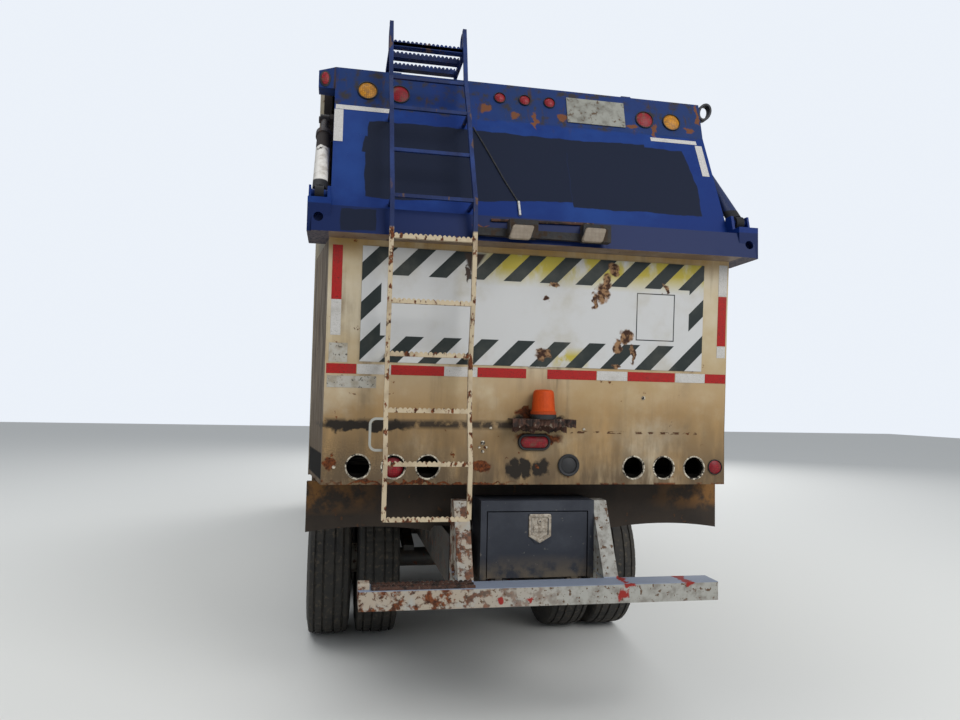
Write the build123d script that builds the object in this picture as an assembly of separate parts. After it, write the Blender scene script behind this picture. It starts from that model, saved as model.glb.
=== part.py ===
from build123d import *
from math import atan2, cos, degrees, radians, sin
import os

os.makedirs("parts", exist_ok=True)

# The truck is a front-loading garbage truck: hollow refuse body with a lifting tailgate,
# arms that reach over a hollow cab, and forks on the arms' cross tube.
# Millimetres. X is to the right, Y is forward, Z is up from the ground.
# Y is drawn ahead of the tailgate's sill, and every piece is placed by SILL_Y when written.

# Stations along the truck
GATE_DEPTH = 600
SEAL_GAP = 8
BODY_LENGTH = 4050
TAPER_LENGTH = 130
HOPPER_LENGTH = 1700
PIVOT_AHEAD = 165
CAB_BEHIND_PIVOT = 290
CAB_LENGTH = 2000
REAR_AXLE_Y = 1950
AXLE_SPACING = 1370
GUARD_REAR = 300
SUMP_Y = 240

BODY_REAR = GATE_DEPTH + SEAL_GAP
BODY_FRONT = BODY_REAR + BODY_LENGTH
HOPPER_REAR = BODY_FRONT + TAPER_LENGTH
HOPPER_FRONT = HOPPER_REAR + HOPPER_LENGTH
PIVOT_Y = HOPPER_FRONT + PIVOT_AHEAD
CAB_REAR = PIVOT_Y + CAB_BEHIND_PIVOT
CAB_FRONT = CAB_REAR + CAB_LENGTH
FRONT_AXLE_Y = CAB_FRONT - 1493
TOW_EYE_Y = CAB_FRONT + 150

# Heights and half widths of the body
SILL_Z = 1315
FLOOR_TOP = 1300
FLOOR_THICK = 60
ROOF_Z = 3640
ROOF_CROWN = 40
WALL = 45
BODY_HALF = 1180
HOPPER_HALF = BODY_HALF - 210
DOOR_RAIL_X = HOPPER_HALF - 10
DOOR_SEAT = ROOF_Z + 85
RIB_PROUD = 25
GATE_HALF = BODY_HALF - 67
FLARE_HALF = BODY_HALF + 20
END_HALF = BODY_HALF + 42
GATE_WALL = 50
GATE_TOP = ROOF_Z - 5
BAND_LOW = 2576
BAND_HIGH = 2717
BAND_PROUD = 198

# Chassis
RAIL_TOP = 1030
RAIL_DEPTH = 270
RAIL_OUT = 430
RAIL_FLANGE = 85
RAIL_WEB = 10
RAIL_REAR = 128
TOW_BORE = 21
CAB_TUNNEL = 1060
ENGINE_BACK = 1850
TYRE_R = 538
TYRE_WIDTH = 310
RIM_R = 286
TWIN_SPACING = 345
TWIN_OUTER_X = 1065
AXLE_STUB_X = 700
AXLE_STUB_R = 45
AXLE_TUBE_R = 70
FRONT_WHEEL_X = 1030
KINGPIN_X = 900
KINGPIN_R = 22

# Lift arms and forks, about the arms' pivot; at rest the arms are right down
PIVOT_Z = 2000
ARM_IN = BODY_HALF - 60
ARM_THICK = 90
ARM_DEPTH = 220
ARM_RUN_Z = 740
ARM_KNEE_Y = 300
ARM_ELBOW_Y = CAB_BEHIND_PIVOT + CAB_LENGTH + 330
ARM_END = (ARM_ELBOW_Y + 70, -700)
FORK_REST = -80
FORK_SWING = 135
ARM_SWING = 113
CYLINDER_X = ARM_IN - 75
LIFT_R = 62
LIFT_EYE_HALF = 35
FORK_EYE_HALF = 30
FORK_EYE_R = 34
FORK_TUBE_R = 45
GATE_EYE_HALF = 25
GATE_R = 38
RUNNING = 5
FIT = 0.8
EYE_GAP = 1

# Cab
CAB_HALF = BODY_HALF - 80
CAB_WALL = 45
CAB_ROOF = 2850
CAB_FLOOR = 1180
CAB_SKIRT = 520
SCREEN_LOW = 1560
SCREEN_LEAN = 230
DOOR_GAP = 8


def outline(points):
    """A closed straight-sided outline, turned so that it faces along its plane's normal."""
    ahead = points[1:] + points[:1]
    area = sum(a[0] * b[1] - b[0] * a[1] for a, b in zip(points, ahead))
    return Polygon(*(points if area > 0 else points[::-1]), align=None)


def box(x, y, z):
    """A block between two limits on each axis."""
    size = [b - a for a, b in (x, y, z)]
    middle = [(a + b) / 2 for a, b in (x, y, z)]
    return Pos(*middle) * Box(*size)


def side_prism(points, x0, x1):
    """A (y, z) outline carried across from x0 to x1."""
    return extrude(Plane.YZ.offset(x0) * outline(points), amount=x1 - x0)


def side_sketch(sketch, x0, x1):
    """A (y, z) sketch carried across from x0 to x1."""
    return extrude(Plane.YZ.offset(x0) * sketch, amount=x1 - x0)


def end_prism(points, y0, y1):
    """An (x, z) outline carried forward from y0 to y1."""
    plane = Plane(origin=(0, y1, 0), x_dir=(1, 0, 0), z_dir=(0, -1, 0))
    return extrude(plane * outline(points), amount=y1 - y0)


def plan_prism(points, z0, z1):
    """An (x, y) outline carried up from z0 to z1."""
    return extrude(Pos(0, 0, z0) * outline(points), amount=z1 - z0)


def bar(start, end, radius, bore=0):
    """A round bar or tube from start to end."""
    run = Vector(*end) - Vector(*start)
    plane = Plane(origin=start, z_dir=run)
    ring = Circle(radius) - Circle(bore) if bore else Circle(radius)
    return extrude(plane * ring, amount=run.length)


def cross_bar(x0, x1, at, radius, bore=0):
    """A round bar or tube across the truck at (y, z)."""
    return bar((x0, *at), (x1, *at), radius, bore)


def mirrored(shape):
    """The same shape on the truck's other side."""
    return mirror(shape, about=Plane.YZ)


def both(shape):
    """A right-hand piece with its left-hand twin."""
    return shape + mirrored(shape)


def turned(point, angle):
    """A (y, z) point turned about the origin, forward towards up."""
    y, z = point
    c, s = cos(radians(angle)), sin(radians(angle))
    return (y * c - z * s, y * s + z * c)


def moved(point, by):
    """A (y, z) point moved by another."""
    return (point[0] + by[0], point[1] + by[1])


def spin(section):
    """A wheel-like solid turned about the X axis from an (x, radius) sketch."""
    return revolve(Plane.XZ * section, axis=Axis.X)


# Arm and cylinder points, at rest
PIVOT = (PIVOT_Y, PIVOT_Z)
FORK_PIVOT = moved(ARM_END, PIVOT)
LIFT_BASE = moved((-1600, -655), PIVOT)
LIFT_LUG = (150, 380)
LIFT_EYE = moved(LIFT_LUG, PIVOT)
FORK_BASE = moved((50, 1050), FORK_PIVOT)
FORK_LEVER = (160, -205)
FORK_EYE = moved(FORK_LEVER, FORK_PIVOT)
GATE_HINGE = (GATE_DEPTH + 60, ROOF_Z + 105)
GATE_EYE = (-50, BAND_HIGH + 83)
GATE_POST = (GATE_DEPTH - 85, ROOF_Z - 240)
GATE_CYLINDER_X = BODY_HALF - 10
TINE_LENGTH = 1200
TINE_DROP = 120
FORK_LEVER_R = 45
FORK_IN = CYLINDER_X - 120
FORK_LEVER_X = CYLINDER_X - 60

SILL_Y = -(FORK_EYE[0] + FORK_LEVER_R - GUARD_REAR) / 2


def write(shape, name):
    """Place a piece in the truck's frame and write it."""
    export_step(Pos(0, SILL_Y, 0) * shape, f"parts/{name}.step")


# Toolbox behind the rear axle
TOOLBOX_X = (-283, 345)
TOOLBOX_TOP = 1230
TOOL_FRAME = 33
TOOL_FRAME_TOP = 56
TOOL_GAP = 6
TOOL_HINGE = (13, 805)
TOOL_HINGE_X = (-180, 240)
LATCH_AT = (41, 1082)


# Chassis: two channel rails, cross members and body bearers, arm pedestals and tow eyes
def chassis_rails():
    low = RAIL_TOP - RAIL_DEPTH
    channel = [
        (RAIL_OUT, low),
        (RAIL_OUT, RAIL_TOP),
        (RAIL_OUT - RAIL_FLANGE, RAIL_TOP),
        (RAIL_OUT - RAIL_FLANGE, RAIL_TOP - RAIL_WEB),
        (RAIL_OUT - RAIL_WEB, RAIL_TOP - RAIL_WEB),
        (RAIL_OUT - RAIL_WEB, low + RAIL_WEB),
        (RAIL_OUT - RAIL_FLANGE, low + RAIL_WEB),
        (RAIL_OUT - RAIL_FLANGE, low),
    ]
    return both(end_prism(channel, RAIL_REAR, CAB_FRONT - 60))


def cross_members():
    """Members between the rails, bearers that carry the body, and the cab's four mounts."""
    inside = RAIL_OUT - RAIL_WEB
    low = RAIL_TOP - RAIL_DEPTH
    bearers = FLOOR_TOP - FLOOR_THICK
    members = [box((-inside, inside), (y, y + 70), (low + 60, RAIL_TOP - 60))
               for y in (REAR_AXLE_Y - 1390, REAR_AXLE_Y - 850, REAR_AXLE_Y + AXLE_SPACING / 2, BODY_FRONT - 558,
                         BODY_FRONT + 842, CAB_FRONT - 140)]
    first, last, count = BODY_REAR + 292, HOPPER_FRONT - 188, 6
    for i in range(count):
        y = first + i * (last - first) / (count - 1)
        members.append(box((-RAIL_OUT, RAIL_OUT), (y, y + 80), (RAIL_TOP, bearers)))
    for y in (CAB_REAR + 60, CAB_FRONT - 260):
        mount = box((RAIL_OUT - RAIL_FLANGE, RAIL_OUT), (y, y + 90), (RAIL_TOP, CAB_TUNNEL))
        members += [mount, mirrored(mount)]
    return Compound(members)


def arm_pedestals():
    """Posts that carry the lift arms' shaft in bored bosses, footed on the rails."""
    pedestal = [
        (PIVOT_Y - 90, RAIL_TOP - 200),
        (PIVOT_Y + 90, RAIL_TOP - 200),
        (PIVOT_Y + 100, PIVOT_Z),
        (PIVOT_Y - 100, PIVOT_Z),
    ]
    post = side_prism(pedestal, 700, 780) + cross_bar(700, 780, PIVOT, 130)
    post += box((RAIL_OUT, 700), (PIVOT_Y - 90, PIVOT_Y + 90), (RAIL_TOP - 200, RAIL_TOP))
    return both(post - cross_bar(600, 800, PIVOT, 80 + FIT))


def tow_eyes():
    """Bored plates under the rails' front ends, for a towing pin."""
    low = RAIL_TOP - RAIL_DEPTH
    plate = box((370, 400), (CAB_FRONT - 300, TOW_EYE_Y + 50), (640, 740))
    plate += box((370, 400), (CAB_FRONT - 300, CAB_FRONT - 100), (700, low))
    return both(plate - cross_bar(360, 410, (TOW_EYE_Y, 690), TOW_BORE))


def engine():
    rear = CAB_FRONT - ENGINE_BACK
    block = box((-320, 320), (rear, rear + 1250), (560, 1045))
    foot = box((-RAIL_OUT + RAIL_WEB, RAIL_OUT - RAIL_WEB), (rear + 150, rear + 230), (850, 900))
    return block + foot + Pos(0, 800, 0) * foot


def side_tanks():
    near, far = RAIL_OUT + 40, BODY_HALF - 130
    rear = BODY_FRONT + 842
    tank = fillet(box((near, far), (rear, rear + 850), (430, 930)).edges().filter_by(Axis.Y), 90)
    for y in (rear + 100, rear + 650):
        tank += box((RAIL_OUT, near), (y, y + 80), (800, 900))
    rear = BODY_FRONT - 208
    chest = box((near, far), (rear, rear + 800), (470, 930)) + box((RAIL_OUT, near), (rear + 50, rear + 750), (800, 900))
    return both(tank) + both(chest)


def wheel_profile(half, bead_half):
    """Tyre section as (x, radius) points from one bead to the other."""
    right = [
        (bead_half, RIM_R),
        (half, RIM_R + 120),
        (half - 25, TYRE_R - 20),
        (half - 50, TYRE_R),
    ]
    left = [(-x, r) for x, r in reversed(right)]
    return right + left


def tyre(x):
    half = TYRE_WIDTH / 2
    return Pos(x, 0, 0) * spin(outline(wheel_profile(half, 115)))


def rim(x, dish):
    """A steel disc wheel: rim band and dished disc, dish towards +X when positive."""
    band = [(-115, RIM_R - FIT), (115, RIM_R - FIT), (115, 262), (-115, 262)]
    disc = [(dish, 262), (dish, 235), (dish * 0.2, 190), (dish * 0.2, 60)]
    back = [(x - 14, r) for x, r in reversed(disc)]
    wheel = spin(outline(band)) + spin(outline(disc + back))
    return Pos(x, 0, 0) * wheel


def place_wheel(shape, y):
    return Pos(0, y, TYRE_R) * shape


def rear_wheels():
    """Two axles, each with a twin pair on both sides."""
    inner_x = TWIN_OUTER_X - TWIN_SPACING
    tyres = tyre(TWIN_OUTER_X) + tyre(inner_x)
    drum = bar((inner_x - 100, 0, 0), (TWIN_OUTER_X + 60, 0, 0), 110)
    drum -= bar((inner_x - 110, 0, 0), (AXLE_STUB_X + RUNNING, 0, 0), AXLE_STUB_R + FIT)
    rims = rim(TWIN_OUTER_X, -100) + rim(inner_x, 100) + drum
    return tyres, rims


def axle_housing(y):
    """A drive axle: banjo housing turned about its axle line, with stubs that carry the twin wheels."""
    half = [(AXLE_STUB_X, 0), (AXLE_STUB_X, AXLE_STUB_R), (600, AXLE_STUB_R), (600, AXLE_TUBE_R),
            (230, AXLE_TUBE_R), (150, 160), (60, 205)]
    return Pos(0, y, TYRE_R) * spin(outline(half + [(-x, r) for x, r in reversed(half[1:])] + [(-AXLE_STUB_X, 0)]))


def rear_axles():
    """Two driven axles with the shaft between them and the long shaft from the gearbox."""
    first = REAR_AXLE_Y
    second = REAR_AXLE_Y + AXLE_SPACING
    shaft_end = CAB_FRONT - ENGINE_BACK - 2
    link = bar((0, first + 150, TYRE_R + 60), (0, second - 150, TYRE_R + 60), 50)
    long = bar((0, second + 150, TYRE_R + 70), (0, shaft_end, 700), 55)
    return axle_housing(first) + axle_housing(second) + link + long


def rear_springs():
    middle = REAR_AXLE_Y + AXLE_SPACING / 2
    seat = TYRE_R + AXLE_TUBE_R + FIT
    leaf = [
        (REAR_AXLE_Y - 120, seat),
        (REAR_AXLE_Y + 60, seat),
        (middle, TYRE_R + 190),
        (REAR_AXLE_Y + AXLE_SPACING - 60, seat),
        (REAR_AXLE_Y + AXLE_SPACING + 120, seat),
        (REAR_AXLE_Y + AXLE_SPACING + 120, seat + 40),
        (middle, TYRE_R + 290),
        (REAR_AXLE_Y - 120, seat + 40),
    ]
    spring = side_prism(leaf, RAIL_OUT + 5, RAIL_OUT + 85)
    spring += cross_bar(RAIL_OUT, RAIL_OUT + 110, (middle, 820), 90)
    return both(spring)


def front_axle():
    beam = box((-760, 760), (FRONT_AXLE_Y - 45, FRONT_AXLE_Y + 45), (395, 495))
    eye = bar((KINGPIN_X, FRONT_AXLE_Y, 420), (KINGPIN_X, FRONT_AXLE_Y, 620), 55)
    eye += box((700, KINGPIN_X), (FRONT_AXLE_Y - 40, FRONT_AXLE_Y + 40), (440, 600))
    eye -= bar((KINGPIN_X, FRONT_AXLE_Y, 400), (KINGPIN_X, FRONT_AXLE_Y, 640), KINGPIN_R + FIT)
    low = RAIL_TOP - RAIL_DEPTH
    leaf = [(-720, low - 60), (-560, 600), (0, 490), (560, 600), (720, low - 60), (720, low), (650, low),
            (560, 650), (0, 560), (-560, 650), (-650, low), (-720, low)]
    leaf = [(FRONT_AXLE_Y + y, z) for y, z in leaf]
    spring = side_prism(leaf, 345, 425)
    return beam + both(eye) + both(spring)


def knuckle():
    """Right-hand steering knuckle with its stub axle and steering arm."""
    at = FRONT_AXLE_Y
    yoke = bar((KINGPIN_X, at, 350), (KINGPIN_X, at, 420 - FIT), 60)
    yoke += bar((KINGPIN_X, at, 620 + FIT), (KINGPIN_X, at, 690), 60)
    yoke += bar((KINGPIN_X, at, 350), (KINGPIN_X, at, 690), KINGPIN_R)
    yoke += box((KINGPIN_X + 60, KINGPIN_X + 90), (at - 55, at + 55), (350, 690))
    yoke += box((KINGPIN_X, KINGPIN_X + 60), (at - 50, at + 50), (350, 420 - FIT))
    yoke += box((KINGPIN_X, KINGPIN_X + 60), (at - 50, at + 50), (620 + FIT, 690))
    return yoke + cross_bar(KINGPIN_X + 80, FRONT_WHEEL_X + 60, (at, TYRE_R), 48)


def front_wheel():
    at = FRONT_WHEEL_X
    hub = bar((at - 30, 0, 0), (at + 150, 0, 0), 95, 48 + FIT)
    hub += bar((at + 100, 0, 0), (at + 150, 0, 0), 95)
    return tyre(at), rim(at, 90) + hub


# Refuse body
def plan_outline(out=0):
    """Body and hopper in plan, as wall outlines moved in by out."""
    wide = BODY_HALF - out
    narrow = HOPPER_HALF - out
    right = [(wide, BODY_FRONT), (narrow, HOPPER_REAR), (narrow, HOPPER_FRONT - out)]
    left = [(-x, y) for x, y in reversed(right)]
    return right + left


def body_floor():
    plan = [(BODY_HALF, BODY_REAR)] + plan_outline() + [(-BODY_HALF, BODY_REAR)]
    return plan_prism(plan, FLOOR_TOP - FLOOR_THICK, FLOOR_TOP)


def body_sides():
    wall = box((BODY_HALF - WALL, BODY_HALF), (BODY_REAR, BODY_FRONT), (FLOOR_TOP, ROOF_Z))
    y, z = GATE_POST
    eye_in = GATE_CYLINDER_X - GATE_EYE_HALF - EYE_GAP
    post = [(BODY_REAR + 40, z - 90), (BODY_REAR + 40, z + 90), (y - 10, z + 35), (y - 35, z), (y - 10, z - 35)]
    wall += side_prism(post, GATE_HALF + 5, BODY_HALF - 40) + cross_bar(GATE_HALF + 5, eye_in, GATE_POST, 30)
    ribs = 7
    for i in range(ribs):
        y = BODY_REAR + 60 + i * (BODY_LENGTH - 120 - 90) / (ribs - 1)
        wall += box((BODY_HALF, BODY_HALF + RIB_PROUD), (y, y + 90), (FLOOR_TOP, ROOF_Z))
    return both(wall)


def body_roof():
    """Crowned roof sheet with the tailgate's hinge ears."""
    edge = BODY_HALF
    arc = ThreePointArc((-edge, ROOF_Z + WALL - 20), (0, ROOF_Z + WALL + ROOF_CROWN - 20), (edge, ROOF_Z + WALL - 20))
    lower = Polyline((edge, ROOF_Z + WALL - 20), (edge, ROOF_Z), (-edge, ROOF_Z), (-edge, ROOF_Z + WALL - 20))
    plane = Plane(origin=(0, BODY_FRONT, 0), x_dir=(1, 0, 0), z_dir=(0, -1, 0))
    roof = extrude(plane * make_face(arc + lower), amount=BODY_LENGTH)
    y, z = GATE_HINGE
    ear = [(y - 30, ROOF_Z), (y + 130, ROOF_Z), (y + 30, z + 30), (y - 30, z + 30)]
    pair = side_prism(ear, 700, 715) + side_prism(ear, 785, 800) + cross_bar(700, 800, GATE_HINGE, 20)
    for x in (-DOOR_RAIL_X, DOOR_RAIL_X - 40):
        roof += box((x, x + 40), (BODY_FRONT - HOPPER_LENGTH + 80, BODY_FRONT), (ROOF_Z, DOOR_SEAT - FIT))
    return roof + both(pair)


def hopper():
    outer = plan_prism(plan_outline(), FLOOR_TOP, ROOF_Z)
    inner = plan_prism([(BODY_HALF - WALL, BODY_FRONT - 10)] + plan_outline(WALL)
                       + [(-BODY_HALF + WALL, BODY_FRONT - 10)], FLOOR_TOP - 10, ROOF_Z + 10)
    shell = outer - inner
    y, z = LIFT_BASE
    pad = box((HOPPER_HALF - 5, CYLINDER_X - LIFT_R - RUNNING), (y - 90, y + 90), (FLOOR_TOP, z + 80))
    pin = cross_bar(HOPPER_HALF - 5, CYLINDER_X + 40, LIFT_BASE, 30)
    rail = box((DOOR_RAIL_X - 40, DOOR_RAIL_X), (HOPPER_REAR, HOPPER_FRONT), (ROOF_Z - 40, DOOR_SEAT - FIT))
    return shell + both(pad) + both(pin) + both(rail)


def packer():
    """Packing blade that crosses the hopper and pushes the load rearwards."""
    half = HOPPER_HALF - WALL - 8
    front = HOPPER_FRONT - WALL - 10
    low = FLOOR_TOP + RUNNING
    blade = [(front - 420, low), (front, low), (front, 1900), (front - 120, 2300), (front - 300, 2300)]
    shoe = box((600, 700), (front - 400, front - 20), (FLOOR_TOP + FIT, low + 20))
    return side_prism(blade, -half, half) + both(shoe)


def hopper_door():
    top = DOOR_SEAT
    half = HOPPER_HALF - 10
    lid = box((-half, half), (HOPPER_REAR + 60, HOPPER_FRONT), (top, top + 35))
    for i in range(4):
        y = HOPPER_REAR + 160 + i * (HOPPER_LENGTH - 320) / 3
        lid += box((-half, half), (y, y + 60), (top + 35, top + 60))
    return lid


def rear_sump():
    """Dark rear sill below the tailgate, arched along its bottom edge."""
    top = SILL_Z - 10
    wide = BODY_HALF + 15
    low, arch = 1036, 26
    right = ThreePointArc((wide, low), ((wide + 520) / 2, low + arch), (520, low))
    middle = Polyline((520, low), (500, low + arch), (-500, low + arch), (-520, low))
    left = ThreePointArc((-520, low), (-(wide + 520) / 2, low + arch), (-wide, low))
    edge = Polyline((-wide, low), (-wide, top), (wide, top), (wide, low))
    plane = Plane(origin=(0, SUMP_Y + 50, 0), x_dir=(1, 0, 0), z_dir=(0, -1, 0))
    sill = extrude(plane * make_face(right + middle + left + edge), amount=50)
    under = FLOOR_TOP - FLOOR_THICK
    return sill + box((-BODY_HALF + 30, BODY_HALF - 30), (SUMP_Y + 40, BODY_REAR + 92), (under - 60, under))


def underride_guard():
    """Square bar on two raked struts, with a shelf between them under the toolbox."""
    guard = box((-920, 915), (-GUARD_REAR, -GUARD_REAR + 140), (757, 850))
    guard += box((-350, 350), (-40, RAIL_REAR), (TOOL_HINGE[1] - 55, TOOL_HINGE[1] - 17))
    front = -GUARD_REAR + 140
    strut = [(front, 770), (front, 850), (30, 1225), (RAIL_REAR, 1225), (RAIL_REAR, 770), (48, 770), (48, 1040),
             (-80, 770)]
    return guard + both(side_prism(strut, 345, 425))


def toolbox():
    """Sheet box with a raised frame round three sides of its door, which is hinged along the bottom."""
    left, right = TOOLBOX_X
    body = box(TOOLBOX_X, (0, SUMP_Y), (815, TOOLBOX_TOP))
    body -= box((left + TOOL_FRAME, right - TOOL_FRAME), (-10, 25 + DOOR_GAP), (810, TOOLBOX_TOP - TOOL_FRAME_TOP))
    body -= box((left + 20, right - 20), (25, SUMP_Y - 20), (835, TOOLBOX_TOP - 20))
    y, z = TOOL_HINGE
    for x in TOOL_HINGE_X:
        lug = box((x - 40, x + 40), (y, 60), (z - 8, z + 8)) + cross_bar(x - 40, x + 40, TOOL_HINGE, 9)
        lug += box((x - 40, x + 40), (44, 60), (z, 816))
        lug -= box((x - 24, x + 24), (y - 20, y + 25), (z - 20, z + 25))
        body += lug + cross_bar(x - 30, x + 30, TOOL_HINGE, 4)
    return body


def toolbox_door():
    """Door inside the frame, with a paddle latch set in a dished plate."""
    left, right = (x + step * (TOOL_FRAME + TOOL_GAP) for x, step in zip(TOOLBOX_X, (1, -1)))
    door = box((left, right), (3, 25), (822, TOOLBOX_TOP - TOOL_FRAME_TOP - TOOL_GAP))
    x, z = LATCH_AT
    rim = [(x - 62, z + 76), (x + 62, z + 76), (x + 62, z - 36), (x + 26, z - 76), (x - 26, z - 76), (x - 62, z - 36)]
    dish = [(x - 46, z + 60), (x + 46, z + 60), (x + 46, z - 30), (x + 20, z - 58), (x - 20, z - 58), (x - 46, z - 30)]
    latch = end_prism(rim, -3, 3)
    door -= end_prism(dish, -10, 10)
    latch -= end_prism(dish, -10, 10)
    latch += box((x - 34, x + 34), (0, 10), (z - 20, z + 12)) + bar((x, -1, z + 36), (x, 10, z + 36), 13)
    y, z = TOOL_HINGE
    for x in TOOL_HINGE_X:
        leaf = box((x - 18, x + 18), (y - 8, y + 8), (z, 824)) + cross_bar(x - 18, x + 18, TOOL_HINGE, 8)
        door += leaf - cross_bar(x - 30, x + 30, TOOL_HINGE, 4 + FIT)
    return door + latch


# Tailgate
GATE_OUTLINE = [
    (0, SILL_Z),
    (-2, 1600),
    (-20, 1882),
    (-60, BAND_LOW),
    (-50, 2745),
    (121, 3120),
    (250, 3400),
    (307, GATE_TOP),
    (GATE_DEPTH, GATE_TOP),
    (GATE_DEPTH, SILL_Z),
]


SILL_HOLE_Z = 1407
SILL_HOLE_R = 60


def gate_block():
    """The tailgate's outer volume, before it is hollowed."""
    profile = outline(GATE_OUTLINE)
    block = side_sketch(profile, -GATE_HALF, GATE_HALF)
    band = [(-40, BAND_LOW), (-BAND_PROUD, BAND_LOW), (-163, BAND_HIGH), (-50, 2745)]
    return block + side_prism(band, -FLARE_HALF, FLARE_HALF)


def tailgate():
    profile = outline(GATE_OUTLINE)
    inside = offset(profile, -GATE_WALL, kind=Kind.INTERSECTION)
    cavity = side_sketch(inside, -GATE_HALF + GATE_WALL, GATE_HALF - GATE_WALL)
    cavity += Pos(0, 2 * GATE_WALL, 0) * cavity
    upper = side_sketch(profile, -GATE_HALF, GATE_HALF)
    lower = side_sketch(profile, -FLARE_HALF, FLARE_HALF)
    lower &= box((-1300, 1300), (-300, 700), (SILL_Z, BAND_LOW))
    wedge = [(GATE_HALF, -300), (1300, -300), (1300, 700), (FLARE_HALF, 620), (GATE_HALF, -40)]
    lower -= both(plan_prism(wedge, SILL_Z - 10, BAND_LOW + 10))
    shell = upper + lower
    band = [(-40, BAND_LOW), (-BAND_PROUD, BAND_LOW), (-163, BAND_HIGH), (-50, 2745)]
    shell += side_prism(band, -FLARE_HALF, FLARE_HALF)
    end = box((GATE_HALF - 5, END_HALF), (-BAND_PROUD + 20, 120), (BAND_LOW, BAND_HIGH + 33))
    shell += both(end)
    shell -= cavity
    y, z = GATE_EYE
    ear = [(y - 60, BAND_HIGH), (y + 60, BAND_HIGH), (y + 30, z + 35), (y - 30, z + 35)]
    ear_out = GATE_CYLINDER_X + GATE_R + 3
    clevis = side_prism(ear, GATE_HALF, GATE_CYLINDER_X - GATE_R - 3) + side_prism(ear, ear_out, END_HALF)
    shell += both(clevis + cross_bar(GATE_HALF, END_HALF, GATE_EYE, 22))
    y, z = GATE_HINGE
    arm = [(y - 220, GATE_TOP), (y - 68, GATE_TOP), (y - 60, z - 37), (y, z - 37), (y, z + 40), (y - 60, z + 30)]
    knuckle_eye = side_prism(arm, 720, 780) + cross_bar(720, 780, GATE_HINGE, 37)
    shell += both(knuckle_eye)
    shell -= both(cross_bar(690, 810, GATE_HINGE, 20 + FIT))
    for x in (GATE_HALF - 541, GATE_HALF - 362, GATE_HALF - 180):
        shell -= both(bar((x, -60, SILL_HOLE_Z), (x, GATE_WALL + 20, SILL_HOLE_Z), SILL_HOLE_R))
    end_x = (GATE_HALF + END_HALF) / 2
    shell -= both(bar((end_x, -BAND_PROUD, BAND_LOW + 74), (end_x, -BAND_PROUD + 60, BAND_LOW + 74), 24))
    return shell + marker_brackets()


def marker_brackets():
    """Lamp box at the hood's left corner and the empty, bent lamp ring at its right one."""
    x, z = GATE_HALF - 2, GATE_TOP
    lamp_box = end_prism([(-x, z - 135), (-x, z - 10), (-x - 94, z - 40), (-x - 94, z - 135)], 285, 390)
    lamp = Plane(origin=(-x - 58, 285, z - 85), x_dir=(1, 0, 0), z_dir=(0, -1, 0)) * Ellipse(20, 34)
    place = Plane(origin=(x + 44, 345, z - 42), x_dir=(1, 0, 0), z_dir=(0, -1, 0))
    ring = place * Rot(Z=-25) * (Ellipse(42, 58) - Ellipse(29, 45))
    return lamp_box + extrude(lamp, amount=10) + extrude(ring, amount=45)


LADDER_LEFT = -810
LADDER_RIGHT = -390
LADDER_RAIL = [(-226, 1170), (-240, 1440), (-182, 1700), (-182, 1980), (-225, 2240), (-245, 2560), (-232, 2770),
               (-90, 3050), (24, 3320), (148, 3540), (200, 3760), (240, 3900)]


def ladder():
    """Access ladder that follows the tailgate's rear face, with a treaded top platform."""
    side = trace(Polyline(*LADDER_RAIL), line_width=24)
    inside = (LADDER_LEFT - 5, LADDER_RIGHT + 5)
    parts = None
    for x in (LADDER_LEFT, LADDER_RIGHT):
        rail = side_sketch(side, x - 11, x + 11)
        for y, z in (LADDER_RAIL[3], LADDER_RAIL[6], LADDER_RAIL[8]):
            rail += box((x - 8, x + 8), (y, y + 260), (z - 8, z + 8))
        rail += box((x - 10, x + 10), (200, 565), (3750, 3770)) + box((x - 10, x + 10), (545, 565), (3600, 3770))
        parts = rail if parts is None else parts + rail
    for y, z in LADDER_RAIL[:-2]:
        parts += box(inside, (y - 9, y + 9), (z - 9, z + 9))
    for y in (240, 375, 518):
        parts += box(inside, (y - 25, y + 25), (3752, 3775))
    top = LADDER_RAIL[-1][1] - 9
    loop = trace(FilletPolyline((245, 3755), (245, top), (330, top), (330, 3755), radius=42), line_width=18)
    for x in (LADDER_LEFT, LADDER_RIGHT):
        parts += side_sketch(loop, x - 9, x + 9)
    out = LADDER_LEFT - 76
    grip = FilletPolyline((LADDER_LEFT - 5, 1660), (out, 1660), (out, 1506), (LADDER_LEFT - 5, 1506), radius=30)
    plane = Plane(origin=(0, -197, 0), x_dir=(1, 0, 0), z_dir=(0, -1, 0))
    parts += extrude(plane * trace(grip, line_width=12), amount=20)
    return parts - gate_block()


def rear_face(z):
    """How far forward the tailgate's rear face lies at height z."""
    for (y0, z0), (y1, z1) in zip(GATE_OUTLINE, GATE_OUTLINE[1:]):
        if z0 <= z < z1:
            return y0 + (y1 - y0) * (z - z0) / (z1 - z0)


def rear_lamps():
    """Round lamps on the hood and the sill, the oval one under the beacon, and one left in a sill hole."""
    lamps = [(side * (GATE_HALF - inset), 3490, 54) for inset in (193, 373) for side in (-1, 1)]
    lamps += [(x, 3540, 28) for x in (-164, -13, 139)] + [(195, 1420, 57), (GATE_HALF - 54, 1412, 37)]
    pieces = [bar((x, rear_face(z) - 16, z), (x, rear_face(z) + 30, z), r) for x, z, r in lamps]
    oval = Plane(origin=(0, rear_face(1542), 1542), x_dir=(1, 0, 0), z_dir=(0, -1, 0)) * SlotOverall(180, 90)
    pieces.append(extrude(oval, amount=18))
    block = gate_block()
    left = bar((362 - GATE_HALF, 15, SILL_HOLE_Z), (362 - GATE_HALF, 45, SILL_HOLE_Z), SILL_HOLE_R - 0.3)
    return Compound([piece - block for piece in pieces] + [left])


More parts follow.
